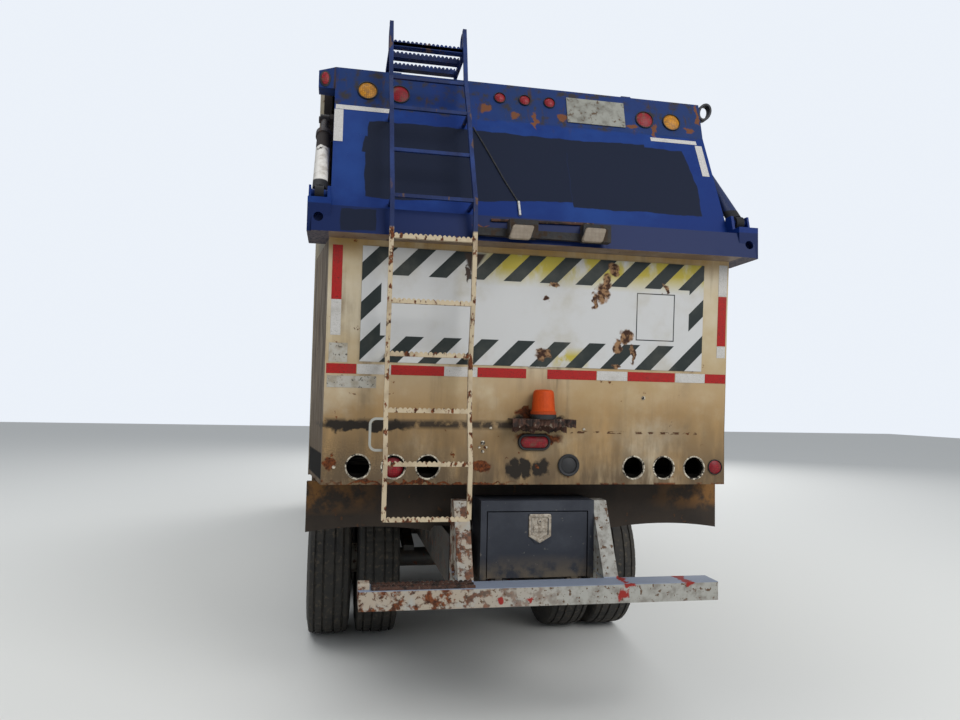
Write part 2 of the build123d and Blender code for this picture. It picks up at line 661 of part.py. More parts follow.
def beacon():
    shelf = 1672
    half = [(0, shelf), (70, shelf), (70, shelf + 22), (62, shelf + 38), (54, shelf + 130), (42, shelf + 150), (0, shelf + 152)]
    lens = Pos(30, -70, 0) * revolve(Plane.XZ * outline(half), axis=Axis.Z)
    return lens + box((-148, 195), (-120, 40), (shelf - 30, shelf)) - gate_block()


def work_lights():
    bracket = box((-380, 300), (-BAND_PROUD - 30, -BAND_PROUD + 30), (2600, 2640))
    for x in (-145, 246):
        bracket += box((x - 75, x + 75), (-BAND_PROUD - 80, -BAND_PROUD - 25), (2590, 2680))
    return bracket - gate_block()


# Hydraulic cylinders: barrel from its pin, rod to its eye
def barrel_solid(x, base, eye, radius, rod, length, eye_r, pin):
    angle = atan2(eye[1] - base[1], eye[0] - base[0])
    along = (cos(angle), sin(angle))
    start = (base[0] + along[0] * eye_r * 0.6, base[1] + along[1] * eye_r * 0.6)
    end = (base[0] + along[0] * length, base[1] + along[1] * length)
    lug = cross_bar(x - radius * 0.6, x + radius * 0.6, base, eye_r)
    tube = bar((x, *start), (x, *end), radius)
    mouth = (base[0] + along[0] * (eye_r + 40), base[1] + along[1] * (eye_r + 40))
    hollow = bar((x, *mouth), (x, end[0] + along[0] * 5, end[1] + along[1] * 5), rod + FIT)
    return lug + tube - hollow - cross_bar(x - 200, x + 200, base, pin + FIT)


def rod_solid(x, base, eye, radius, length, eye_r, half, pin, outer):
    """Rod with its eye, plugged by the pin's end, which shows on the side that outer points to."""
    angle = atan2(base[1] - eye[1], base[0] - eye[0])
    along = (cos(angle), sin(angle))
    end = (eye[0] + along[0] * length, eye[1] + along[1] * length)
    start = (eye[0] + along[0] * eye_r * 0.8, eye[1] + along[1] * eye_r * 0.8)
    shaft = bar((x, *start), (x, *end), radius)
    cap = sorted((x, x + outer * (half + 10)))
    return shaft + cross_bar(x - half, x + half, eye, eye_r) + cross_bar(*cap, eye, pin)


def lift_arms():
    path = [(0, 0), (ARM_KNEE_Y, ARM_RUN_Z), (ARM_ELBOW_Y, ARM_RUN_Z), ARM_END]
    line = FilletPolyline(*path, radius=220)
    strip = trace(line, line_width=ARM_DEPTH)
    strip += Circle(150) + Pos(*ARM_END) * Circle(130)
    strip += Pos(*LIFT_LUG) * Circle(90)
    base = moved(FORK_BASE, (-PIVOT[0], -PIVOT[1]))
    web = [(ARM_ELBOW_Y + 60, base[1] - 160), (base[0] - 20, base[1] - 60), (base[0] + 50, base[1]),
           (base[0] - 20, base[1] + 60), (ARM_ELBOW_Y - 60, base[1] + 160)]
    strip += outline(web)
    place = Plane(origin=(ARM_IN, *PIVOT), x_dir=(0, 1, 0), z_dir=(1, 0, 0))
    arm = extrude(place * strip, amount=ARM_THICK)
    arm += cross_bar(CYLINDER_X + LIFT_EYE_HALF + EYE_GAP, ARM_IN + 10, LIFT_EYE, 45)
    arm += cross_bar(CYLINDER_X - 40, ARM_IN + 10, FORK_BASE, 25)
    arms = both(arm)
    arms += cross_bar(-ARM_IN - 10, ARM_IN + 10, PIVOT, 80)
    return arms + cross_bar(-ARM_IN - 10, ARM_IN + 10, FORK_PIVOT, FORK_TUBE_R)


def forks():
    hub = Circle(80)
    tine = outline([(-40, -60), (60, -60), (TINE_LENGTH - 200, -TINE_DROP + 65), (TINE_LENGTH, -TINE_DROP + 20),
                    (TINE_LENGTH, -TINE_DROP - 20), (TINE_LENGTH - 200, -TINE_DROP - 50), (80, -TINE_DROP - 55),
                    (-60, -20)])
    place = Plane(origin=(FORK_IN, *FORK_PIVOT), x_dir=Vector(0, *turned((1, 0), FORK_REST)), z_dir=(1, 0, 0))
    fork = extrude(place * tine, amount=55) + extrude(place * hub, amount=FORK_LEVER_X + 20 - FORK_IN)
    lever = Plane(origin=(FORK_LEVER_X, *FORK_PIVOT), x_dir=(0, 1, 0), z_dir=(1, 0, 0))
    angle = degrees(atan2(FORK_LEVER[1], FORK_LEVER[0]))
    reach = Vector(*FORK_LEVER).length
    arm = Rot(Z=angle) * (Pos(reach / 2, 0) * Rectangle(reach, 2 * FORK_LEVER_R) + Pos(reach, 0) * Circle(FORK_LEVER_R))
    fork += extrude(lever * arm, amount=20)
    fork += cross_bar(FORK_LEVER_X, CYLINDER_X - FORK_EYE_HALF - EYE_GAP, FORK_EYE, 25)
    fork -= cross_bar(FORK_IN - 10, FORK_LEVER_X + 30, FORK_PIVOT, FORK_TUBE_R + FIT)
    return both(fork)


# Cab
def cab_outline(inset=0):
    """Cab side outline as (y, z) points, moved in by inset."""
    return [
        (CAB_REAR + inset, CAB_FLOOR - 150 if not inset else CAB_FLOOR),
        (CAB_REAR + inset, CAB_ROOF - inset),
        (CAB_FRONT - SCREEN_LEAN - inset, CAB_ROOF - inset),
        (CAB_FRONT - inset, SCREEN_LOW),
    ]


DOOR_REAR = FRONT_AXLE_Y + 640
DOOR_FRONT = CAB_FRONT - 90
DOOR_LOW = 820
DOOR_TOP = 2560
HINGE_X = CAB_HALF + 10
HINGE_R = 9.5
HINGE_HEIGHTS = (1000, 1480)
GRILLE_HALF = 520
GRILLE_Z = (965, 1435)


def door_outline(inset=0):
    lean = SCREEN_LEAN / (CAB_ROOF - SCREEN_LOW)
    top_front = DOOR_FRONT - lean * (DOOR_TOP - SCREEN_LOW)
    return [
        (DOOR_REAR + inset, DOOR_LOW + inset),
        (DOOR_REAR + inset, DOOR_TOP - inset),
        (top_front - inset, DOOR_TOP - inset),
        (DOOR_FRONT - inset, SCREEN_LOW),
        (DOOR_FRONT - inset, DOOR_LOW + inset),
    ]


def cab_shell():
    skirt = [(CAB_FRONT, CAB_SKIRT), (DOOR_REAR - 60, CAB_SKIRT), (DOOR_REAR - 60, CAB_FLOOR - 150)]
    shell = side_prism(cab_outline() + skirt, -CAB_HALF, CAB_HALF)
    arch = cross_bar(-CAB_HALF - 10, CAB_HALF + 10, (FRONT_AXLE_Y, TYRE_R), 620)
    shell -= arch
    room = cab_outline(CAB_WALL) + [(CAB_FRONT - CAB_WALL, CAB_FLOOR + 20), (CAB_REAR + CAB_WALL, CAB_FLOOR + 20)]
    room[0] = (CAB_REAR + CAB_WALL, CAB_FLOOR + 20)
    inside = CAB_HALF - CAB_WALL
    shell -= side_prism(room[:-1], -inside, inside)
    well = box((480, inside), (DOOR_REAR, CAB_FRONT - CAB_WALL), (DOOR_LOW, CAB_FLOOR + 30))
    shell -= both(well)
    shell -= box((-470, 470), (CAB_REAR - 10, CAB_FRONT - 50), (CAB_SKIRT - 10, CAB_TUNNEL))
    step = box((800, CAB_HALF + 10), (DOOR_REAR + 40, DOOR_FRONT - 60), (CAB_SKIRT + 60, DOOR_LOW - 60))
    shell -= both(step)
    opening = side_prism(door_outline(), CAB_HALF - CAB_WALL - 5, CAB_HALF + 10)
    shell -= both(opening)
    window = box((CAB_HALF - 60, CAB_HALF + 10), (CAB_REAR + 200, DOOR_REAR - 120), (1750, 2500))
    shell -= both(window)
    screen = box((-CAB_HALF + 120, CAB_HALF - 120), (CAB_FRONT - 400, CAB_FRONT + 50), (SCREEN_LOW + 60, CAB_ROOF - 160))
    shell -= screen
    shell -= box((-600, 600), (CAB_REAR - 10, CAB_REAR + CAB_WALL + 10), (1900, 2500))
    shell -= tow_slots()
    shell -= box((-GRILLE_HALF, GRILLE_HALF), (CAB_FRONT - 25, CAB_FRONT + 10), GRILLE_Z)
    slats = 8
    pitch = (GRILLE_Z[1] - GRILLE_Z[0]) / slats
    for i in range(slats):
        z = GRILLE_Z[0] + (i + 0.5) * pitch
        shell += box((-GRILLE_HALF - 5, GRILLE_HALF + 5), (CAB_FRONT - 30, CAB_FRONT - 3), (z - 9, z + 9))
    for z in HINGE_HEIGHTS:
        leaf = box((CAB_HALF - 5, CAB_HALF + 6), (DOOR_FRONT, DOOR_FRONT + 45), (z, z + 80))
        leaf += bar((HINGE_X, DOOR_FRONT, z), (HINGE_X, DOOR_FRONT, z + 80), HINGE_R)
        leaf -= bar((HINGE_X, DOOR_FRONT, z + 20), (HINGE_X, DOOR_FRONT, z + 60), 30)
        leaf += box((CAB_HALF - 5, CAB_HALF), (DOOR_FRONT, DOOR_FRONT + 45), (z, z + 80))
        shell += both(leaf + bar((HINGE_X, DOOR_FRONT, z), (HINGE_X, DOOR_FRONT, z + 80), 4))
    return shell


def cab_glass():
    """Windscreen, rear window and rear side windows."""
    lean = SCREEN_LEAN / (CAB_ROOF - SCREEN_LOW)
    low, high = SCREEN_LOW + 60, CAB_ROOF - 160
    y_low = CAB_FRONT - lean * (low - SCREEN_LOW) - 25
    y_high = CAB_FRONT - lean * (high - SCREEN_LOW) - 25
    screen = [(y_low, low), (y_high, high), (y_high - 8, high), (y_low - 8, low)]
    glass = side_prism(screen, -CAB_HALF + 120, CAB_HALF - 120)
    glass += box((-600, 600), (CAB_REAR + 20, CAB_REAR + 26), (1900, 2500))
    pane = box((CAB_HALF - 30, CAB_HALF - 24), (CAB_REAR + 200, DOOR_REAR - 120), (1750, 2500))
    return glass + both(pane)


def cab_door():
    door = side_prism(door_outline(DOOR_GAP), CAB_HALF - CAB_WALL, CAB_HALF)
    window = [(y, max(z, 1650)) for y, z in door_outline(DOOR_GAP + 75)]
    window = [window[0], window[1], window[2], (DOOR_FRONT - 95, 1650)]
    door -= side_prism(window, CAB_HALF - 100, CAB_HALF + 10)
    for z in HINGE_HEIGHTS:
        leaf = box((CAB_HALF - 5, CAB_HALF + 6), (DOOR_FRONT - 60, DOOR_FRONT), (z + 21, z + 59))
        leaf += bar((HINGE_X, DOOR_FRONT, z + 21), (HINGE_X, DOOR_FRONT, z + 59), HINGE_R)
        door += leaf - bar((HINGE_X, DOOR_FRONT, z), (HINGE_X, DOOR_FRONT, z + 80), 4 + FIT)
    return door


def door_glass():
    window = door_outline(DOOR_GAP + 75)
    window = [(window[0][0], 1650), window[1], window[2], (DOOR_FRONT - 95, 1650)]
    return side_prism(window, CAB_HALF - 28, CAB_HALF - 22)


def cab_seats():
    low = CAB_FLOOR + 20 + FIT
    back = CAB_FRONT - 1443
    seat = box((330, 830), (back + 150, back + 630), (low, 1560)) + box((330, 830), (back, back + 150), (1400, 2250))
    return both(seat)


def dashboard():
    side = CAB_HALF - CAB_WALL - 40
    dash = box((-side, side), (CAB_FRONT - 383, CAB_FRONT - CAB_WALL), (CAB_FLOOR + 20, 1540))
    ring = [(-14, 211), (-14, 235), (14, 235), (14, 211)]
    hub = (-580, CAB_FRONT - 513, 1600)
    wheel = Pos(*hub) * Rot(X=35) * (Rot(Y=90) * spin(outline(ring)) + Box(430, 40, 16))
    return dash + wheel + bar(hub, (-580, CAB_FRONT - 363, 1400), 25)


def tow_slots():
    """Slots that the tow plates pass through."""
    return both(box((363, 407), (CAB_FRONT - 70, CAB_FRONT + 110), (633, 747)))


def front_bumper():
    bumper = box((-CAB_HALF, CAB_HALF), (CAB_FRONT, CAB_FRONT + 100), (480, 860))
    for x in (-CAB_HALF + 280, CAB_HALF - 280):
        bumper -= box((x - 150, x + 150), (CAB_FRONT + 70, CAB_FRONT + 110), (600, 760))
    return bumper - tow_slots()


def mirrors():
    stay = bar((CAB_HALF - 20, CAB_FRONT - 120, 2150), (CAB_HALF + 250, CAB_FRONT - 50, 2150), 12)
    stay -= side_prism(cab_outline(), 0, CAB_HALF)
    head = box((CAB_HALF + 150, CAB_HALF + 350), (CAB_FRONT - 90, CAB_FRONT - 20), (1800, 2300))
    return both(stay + head)


write(chassis_rails(), "chassis_rails")
write(cross_members(), "cross_members")
write(arm_pedestals(), "arm_pedestals")
write(tow_eyes(), "tow_eyes")
write(engine(), "engine")
write(side_tanks(), "side_tanks")
write(front_axle(), "front_axle")
write(rear_axles(), "rear_axles")
write(rear_springs(), "rear_springs")
write(body_floor(), "body_floor")
write(body_sides(), "body_sides")
write(body_roof(), "body_roof")
write(hopper(), "hopper")
write(packer(), "packer_blade")
write(hopper_door(), "hopper_door")
write(rear_sump(), "rear_sump")
write(underride_guard(), "underride_guard")
write(toolbox(), "toolbox")
write(toolbox_door(), "toolbox_door")
write(tailgate(), "tailgate")
write(ladder(), "ladder")
write(rear_lamps(), "rear_lamps")
write(beacon(), "beacon")
write(work_lights(), "work_lights")
write(lift_arms(), "lift_arms")
write(forks(), "forks")
write(cab_shell(), "cab_shell")
write(cab_glass(), "cab_glass")
write(cab_seats(), "cab_seats")
write(dashboard(), "dashboard")
write(front_bumper(), "front_bumper")
write(mirrors(), "mirrors")
write(cab_door(), "cab_door_right")
write(mirrored(cab_door()), "cab_door_left")
write(door_glass(), "door_glass_right")
write(mirrored(door_glass()), "door_glass_left")

tyre_solid, rim_solid = front_wheel()
write(place_wheel(tyre_solid, FRONT_AXLE_Y), "front_tyre_right")
write(place_wheel(rim_solid, FRONT_AXLE_Y), "front_rim_right")
write(mirrored(place_wheel(tyre_solid, FRONT_AXLE_Y)), "front_tyre_left")
write(mirrored(place_wheel(rim_solid, FRONT_AXLE_Y)), "front_rim_left")
write(knuckle(), "knuckle_right")
write(mirrored(knuckle()), "knuckle_left")
twin_tyres, twin_rims = rear_wheels()
for name, y in (("rear", REAR_AXLE_Y), ("middle", REAR_AXLE_Y + AXLE_SPACING)):
    write(place_wheel(twin_tyres, y), f"{name}_tyres_right")
    write(place_wheel(twin_rims, y), f"{name}_rims_right")
    write(mirrored(place_wheel(twin_tyres, y)), f"{name}_tyres_left")
    write(mirrored(place_wheel(twin_rims, y)), f"{name}_rims_left")

write(both(barrel_solid(CYLINDER_X, LIFT_BASE, LIFT_EYE, LIFT_R, 36, 1180, 60, 30)), "lift_barrels")
write(both(rod_solid(CYLINDER_X, LIFT_BASE, LIFT_EYE, 36, 1150, 60, LIFT_EYE_HALF, 30, -1)), "lift_rods")
write(both(barrel_solid(CYLINDER_X, FORK_BASE, FORK_EYE, 42, 24, 680, 45, 25)), "fork_barrels")
write(both(rod_solid(CYLINDER_X, FORK_BASE, FORK_EYE, 24, 690, FORK_EYE_R, FORK_EYE_HALF, 25, 1)), "fork_rods")
write(both(barrel_solid(GATE_CYLINDER_X, GATE_EYE, GATE_POST, GATE_R, 22, 660, 40, 22)), "tailgate_barrels")
write(both(rod_solid(GATE_CYLINDER_X, GATE_EYE, GATE_POST, 22, 735, 32, GATE_EYE_HALF, 20, 1)), "tailgate_rods")
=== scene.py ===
from math import cos, pi, radians, sin, tau

import bmesh
import bpy
import numpy as np
from mathutils import Matrix, Vector


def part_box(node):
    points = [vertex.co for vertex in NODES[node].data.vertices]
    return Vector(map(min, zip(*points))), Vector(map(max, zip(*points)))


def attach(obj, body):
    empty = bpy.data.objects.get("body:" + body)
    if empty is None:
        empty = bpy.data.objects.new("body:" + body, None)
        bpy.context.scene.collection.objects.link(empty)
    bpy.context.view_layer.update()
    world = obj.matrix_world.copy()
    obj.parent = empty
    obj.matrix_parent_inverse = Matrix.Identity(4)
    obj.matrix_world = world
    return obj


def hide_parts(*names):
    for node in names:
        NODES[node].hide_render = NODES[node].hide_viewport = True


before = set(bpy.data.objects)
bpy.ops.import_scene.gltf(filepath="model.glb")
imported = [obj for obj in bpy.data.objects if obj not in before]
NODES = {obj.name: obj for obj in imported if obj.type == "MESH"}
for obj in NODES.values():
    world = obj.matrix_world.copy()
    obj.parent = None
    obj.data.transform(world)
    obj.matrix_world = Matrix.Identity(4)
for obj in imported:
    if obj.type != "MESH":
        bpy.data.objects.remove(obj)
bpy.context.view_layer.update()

# Tailgate. A welded steel door, white alkyd enamel below its ledge and blue above,
# sun-bleached, streaked with dirt and rusting where the load and the weather strip it.
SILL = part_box("underride_guard")[0][1] + 0.300
GATE_PROFILE = np.array([
    (0.000, 1.315), (-0.002, 1.600), (-0.020, 1.882), (-0.060, 2.576), (-0.198, 2.577), (-0.163, 2.717),
    (-0.050, 2.745), (0.121, 3.120), (0.250, 3.400), (0.307, 3.635)])
WHITE_ENAMEL, OLD_WHITE, ROAD_DIRT, OIL = "bfb49e", "a8946f", "63543f", "29241f"
BLUE_ENAMEL, FADED_BLUE, OVERPAINT = "0c2864", "173774", "11192c"
RUST, DARK_RUST = "6e3d22", "38231a"


def linear(code):
    """An sRGB hex colour as linear red, green, blue and alpha."""
    parts = [int(code[i:i + 2], 16) / 255 for i in (0, 2, 4)]
    return [p / 12.92 if p <= 0.04045 else ((p + 0.055) / 1.055) ** 2.4 for p in parts] + [1.0]


def put(tree, kind, inputs=(), **settings):
    """Adds one shader node, sets its properties, and fills or links its inputs by name or number."""
    node = tree.nodes.new("ShaderNode" + kind)
    for key, value in settings.items():
        setattr(node, key, value)
    for key, value in dict(inputs).items():
        if isinstance(value, bpy.types.NodeSocket):
            tree.links.new(value, node.inputs[key])
        else:
            node.inputs[key].default_value = linear(value) if isinstance(value, str) else value
    return node.outputs


class Finish:
    """A material, its shader tree and its Object coordinates.

    A mask is a socket from 0 to 1, or the numbers of a patches call in brackets."""

    def __init__(self, name):
        self.material = bpy.data.materials.new(name)
        self.material.use_nodes = True
        self.tree = self.material.node_tree
        self.tree.nodes.clear()
        self.where = put(self.tree, "TexCoord")["Object"]

    def mask(self, value):
        """The socket of a mask."""
        return self.patches(*value) if isinstance(value, tuple) else value

    def ramp(self, value, start, end, **settings):
        """0 where value is at start and 1 where it is at end."""
        return put(
            self.tree, "MapRange", {"Value": value, "From Min": start, "From Max": end},
            **settings)["Result"]

    def vector(self, kind, a, b):
        """A sum, difference or product of two vectors."""
        return put(self.tree, "VectorMath", {0: a, 1: b}, operation=kind)[0]

    def blend(self, mask, base, cover):
        """The base colour where a mask is 0 and the cover colour where it is 1."""
        return put(self.tree, "Mix", {0: self.mask(mask), 6: base, 7: cover}, data_type="RGBA")[2]

    def patches(self, size_mm, start, end, detail=5.0, stretch=(1, 1, 1)):
        """Irregular patches about size_mm across: noise ramped from 0 at start to 1 at end."""
        scale = 1000.0 / size_mm
        spread = put(self.tree, "Mapping", {"Vector": self.where, "Scale": [scale * s for s in stretch]})[0]
        cloud = put(
            self.tree, "TexNoise", {"Vector": spread, "Scale": 1.0, "Detail": detail, "Roughness": 0.6})[0]
        return self.ramp(cloud, start, end, interpolation_type="SMOOTHSTEP")

    def cells(self, size_mm, randomness=1.0, **settings):
        """Distance in a field of cells size_mm across, from their middles unless settings say else."""
        inputs = {"Vector": self.where, "Scale": 1000 / size_mm, "Randomness": randomness}
        return put(self.tree, "TexVoronoi", inputs, **settings)["Distance"]

    def fade(self, axis, start, end, where=None):
        """A ramp along one axis, 0 at start and 1 at end, in metres."""
        return self.ramp(put(self.tree, "SeparateXYZ", {0: where or self.where})[axis], start, end)

    def either_side(self, start, end):
        """A ramp by the distance in x from the middle, 0 at start and 1 at end."""
        x = put(self.tree, "SeparateXYZ", {0: self.where})[0]
        return self.ramp(put(self.tree, "Math", {0: x}, operation="ABSOLUTE")[0], start, end)

    def mix(self, kind, a, b):
        """Two masks brought together: MULTIPLY, MAXIMUM, MINIMUM, ADD or SUBTRACT."""
        return put(self.tree, "Math", {0: self.mask(a), 1: self.mask(b)}, operation=kind, use_clamp=True)[0]

    def both(self, a, b):
        """Where two masks meet."""
        return self.mix("MULTIPLY", a, b)

    def warped(self, scale, detail, reach):
        """The coordinates pushed sideways and up by noise, over a span of reach."""
        noise = put(
            self.tree, "TexNoise", {"Vector": self.where, "Scale": scale, "Detail": detail})["Color"]
        push = self.vector("MULTIPLY", self.vector("SUBTRACT", noise, (0.5, 0.5, 0.5)), (reach, 0.0, reach))
        return self.vector("ADD", self.where, push)

    def spots(self, places):
        """Soft-edged blots at (x, z, half width, half height), 1 inside and 0 outside."""
        moved, total = self.warped(22.0, 6.0, 0.09), None
        for x, z, half_w, half_h in places:
            away = self.vector("SUBTRACT", moved, (x, 0, z))
            away = self.vector("MULTIPLY", away, (1 / half_w, 0, 1 / half_h))
            length = put(self.tree, "VectorMath", {0: away}, operation="LENGTH")["Value"]
            blot = self.ramp(length, 1.1, 0.8)
            total = blot if total is None else self.mix("MAXIMUM", total, blot)
        return total

    def within(self, corners, soft=0.006, where=None):
        """1 inside a convex outline of (x, z) corners given clockwise, as the nearest edge's depth."""
        total = None
        for (x0, z0), (x1, z1) in zip(corners, corners[1:] + corners[:1]):
            span = ((x1 - x0) ** 2 + (z1 - z0) ** 2) ** 0.5
            inward = ((z1 - z0) / span, 0, -(x1 - x0) / span)
            depth = put(
                self.tree, "VectorMath", {0: where or self.where, 1: inward},
                operation="DOT_PRODUCT")["Value"]
            at_edge = inward[0] * x0 + inward[2] * z0
            edge = self.ramp(depth, at_edge, at_edge + soft)
            total = edge if total is None else self.mix("MINIMUM", total, edge)
        return total

    def oblong(self, x0, x1, z0, z1, soft, where=None):
        """1 inside an upright rectangle."""
        return self.within([(x0, z0), (x0, z1), (x1, z1), (x1, z0)], soft, where)

    def rust(self):
        """Mottled rust colour, dark where it is thick."""
        return self.blend((18, 0.35, 0.65), RUST, DARK_RUST)

    def paint(self, coats):
        """Colour and roughness of coats laid over each other, each as (mask, colour, roughness)."""
        _, colour, rough = coats[0]
        for mask, tint, level in coats[1:]:
            cover = self.mask(mask)
            colour = self.blend(cover, colour, tint)
            rough = put(self.tree, "Mix", {0: cover, 2: rough, 3: level}, data_type="FLOAT")[0]
        return colour, rough

    def close(self, coats, bump=None, depth_mm=0.3, **sockets):
        """Paints the coats, ends in one Principled shader and gives the material.

        bump is a height mask and depth_mm its relief; sockets are further inputs of the shader."""
        colour, rough = self.paint(coats)
        inputs = {"Base Color": colour, "Roughness": rough}
        inputs.update({key.replace("_", " "): value for key, value in sockets.items()})
        if bump is not None:
            relief = {"Height": self.mask(bump), "Distance": depth_mm / 1000, "Strength": 0.8}
            inputs["Normal"] = put(self.tree, "Bump", relief)[0]
        put(self.tree, "OutputMaterial", {"Surface": put(self.tree, "BsdfPrincipled", inputs)[0]})
        return self.material


def wear(material, *nodes):
    """Gives CAD nodes their finish."""
    for node in nodes:
        mesh = NODES[node].data
        mesh.materials.clear()
        mesh.materials.append(material)


def weathered_enamel(name, fresh, aged, dirt_level=0.5, rust_level=0.62, low=None, posts=None):
    """Truck enamel: gloss coat gone chalky, dirt streaks that run down, and rust in specks.

    low is (height, reach) where road dirt starts to thicken downwards; posts is (y, z), behind and
    above which the body's rear posts are black with old grease."""
    coat = Finish(name)
    chalk = coat.patches(700, 0.35, 0.75)
    runs = coat.patches(90, dirt_level, dirt_level + 0.25, stretch=(1, 1, 0.07))
    grime = coat.patches(350, 0.45, 0.75)
    specks = coat.patches(45, rust_level, rust_level + 0.04, detail=8.0)
    layers = [(None, fresh, 0.38), (chalk, aged, 0.55), (coat.both(runs, grime), ROAD_DIRT, 0.7)]
    if low:
        height, reach = low
        splash = coat.both(
            coat.fade(2, height, height - reach), coat.patches(120, 0.25, 0.6, stretch=(1, 1, 0.4)))
        layers.append((splash, ROAD_DIRT, 0.8))
    layers.append((specks, coat.rust(), 0.9))
    if posts:
        black = coat.both(coat.fade(1, posts[0] + 0.01, posts[0]), coat.fade(2, posts[1], posts[1] + 0.02))
        layers.append((black, "2c2624", 0.8))
    return coat.close(layers, bump=specks, depth_mm=0.4, Specular_IOR_Level=0.25)


def grain_grey(coat):
    """Grey-brown weathered edge steel, streaked lengthways like bark."""
    return coat.blend(coat.patches(16, 0.4, 0.6, stretch=(1, 1, 0.05)), "857a6c", "4a4038")


def tailgate_enamel():
    """White below the ledge and blue from it up, with the marks that the photograph shows."""
    coat = Finish("Alkyd enamel on the tailgate")
    chalk = coat.patches(500, 0.3, 0.75)
    runs = coat.patches(70, 0.48, 0.72, stretch=(1, 1, 0.05))
    cloud = coat.patches(260, 0.35, 0.7)
    tan = coat.both(coat.fade(2, 2.10, 1.70), (300, 0.2, 0.6))
    low = coat.both(coat.fade(2, 1.80, 1.35), coat.patches(110, 0.22, 0.58, stretch=(1, 1, 0.25)))
    shelf = coat.both(coat.oblong(-1.11, -0.02, 1.60, 1.66, 0.02), (60, 0.3, 0.5))
    flecks = coat.both(
        coat.oblong(0.20, 0.95, 1.590, 1.606, 0.003),
        coat.patches(22, 0.50, 0.56, stretch=(0.5, 1, 1), detail=6.0))
    # Painted shade: the walls inside the sill's lamp holes are coloured near black.
    shaded_hole_walls = coat.both(
        coat.fade(1, SILL + 0.004, SILL + 0.008),
        coat.both(coat.fade(2, 1.478, 1.470), coat.fade(2, 1.335, 1.343)))
    burnt = coat.spots([
        (-0.105, 1.400, 0.045, 0.05), (-0.045, 1.405, 0.04, 0.05), (0.04, 1.400, 0.05, 0.05),
        (0.03, 1.655, 0.18, 0.035), (-0.9, 1.62, 0.25, 0.03)])
    sores = coat.spots([
        (-0.29, 1.41, 0.06, 0.03), (-1.075, 1.42, 0.03, 0.035), (0.02, 1.56, 0.14, 0.03),
        (-0.6, 1.325, 0.5, 0.010), (-0.05, 1.70, 0.05, 0.03)])
    specks = coat.patches(60, 0.66, 0.69, detail=8.0)
    edge = coat.both(coat.fade(2, 1.328, 1.318), (50, 0.52, 0.60))
    rust = coat.mix("MAXIMUM", coat.mix("MAXIMUM", sores, specks), edge)
    # Painted shade: a mottled tan darkening of the white face just under the band's overhang, strongest
    # next to the band.
    band_overhang_shade = coat.both(coat.fade(2, 2.46, 2.56), coat.patches(200, 0.2, 0.6, stretch=(1, 1, 0.3)))
    spatter = coat.both(
        (9, 0.46, 0.54, 2.0), coat.within([(-1.2, 1.2), (-1.2, 1.60), (-0.45, 1.50), (-0.25, 1.2)], 0.3))
    edge_strip = coat.either_side(1.113, 1.117)
    white = coat.paint([
        (None, WHITE_ENAMEL, 0.4), (chalk, OLD_WHITE, 0.5), (tan, "9d8058", 0.6),
        (band_overhang_shade, "9a7d4e", 0.6), (spatter, "3b342c", 0.8), (edge_strip, grain_grey(coat), 0.85),
        (coat.both(runs, cloud), "7d6d56", 0.7), (low, "5f503e", 0.75), (flecks, "4d3526", 0.8),
        (shelf, "3f362d", 0.8), (burnt, OIL, 0.6), (shaded_hole_walls, "15120f", 0.9), (rust, coat.rust(), 0.9)])
    faded = coat.patches(420, 0.4, 0.7)
    ragged = coat.warped(9.0, 3.0, 0.03)
    patch = coat.within(
        [(-0.942, 2.807), (-0.942, 3.10), (-0.922, 3.300), (-0.60, 3.312), (0.21, 3.297), (0.21, 2.868),
         (-0.829, 2.798)],
        0.004, ragged)
    for corners in (
        [(0.205, 2.838), (0.205, 3.287), (0.950, 3.293), (0.978, 3.151), (0.997, 3.041), (0.976, 2.838)],
        [(0.15, 3.20), (0.15, 3.298), (0.715, 3.312), (0.715, 3.20)],
        [(-0.965, 3.085), (-0.944, 3.20), (-0.90, 3.20), (-0.90, 3.085)],
        [(-1.06, 2.582), (-1.06, 2.706), (-0.882, 2.712), (-0.882, 2.587)]):
        patch = coat.mix("MAXIMUM", patch, coat.within(corners, 0.004, ragged))
    drips = coat.both(coat.patches(45, 0.58, 0.72, stretch=(1, 1, 0.06)), coat.fade(2, 3.30, 3.5))
    scabs = coat.spots([
        (-0.254, 3.468, 0.034, 0.030), (-0.081, 3.437, 0.030, 0.026), (0.041, 3.41, 0.010, 0.062),
        (0.213, 3.449, 0.030, 0.022), (0.654, 3.434, 0.040, 0.016), (0.80, 3.430, 0.020, 0.040),
        (1.028, 3.445, 0.030, 0.020), (1.095, 3.555, 0.012, 0.075), (-0.35, 2.66, 0.05, 0.008)])
    hood = coat.both(coat.fade(2, 3.385, 3.395), (300, 0.2, 0.7))
    stained = coat.both(coat.fade(2, 3.375, 3.395), (70, 0.50, 0.66, 6.0))
    band = coat.fade(2, 2.722, 2.716)
    blue = coat.paint([
        (None, BLUE_ENAMEL, 0.45), (faded, FADED_BLUE, 0.55), (hood, "1a2f5a", 0.6),
        (stained, "322f31", 0.7), (band, "10204a", 0.45), (patch, OVERPAINT, 0.6), (drips, "3c2f2a", 0.7),
        (scabs, "6a4430", 0.9)])
    above = coat.fade(2, 2.5755, 2.5765)
    return coat.close([(None, *white), (above, *blue)], bump=rust, depth_mm=0.5, Specular_IOR_Level=0.12)


wear(tailgate_enamel(), "tailgate")


def gate_face(z):
    """How far the tailgate's rear face lies ahead of the sill at height z."""
    face = GATE_PROFILE[[0, 1, 2, 3, 6, 7, 8, 9]]
    return np.interp(z, face[:, 1], face[:, 0])


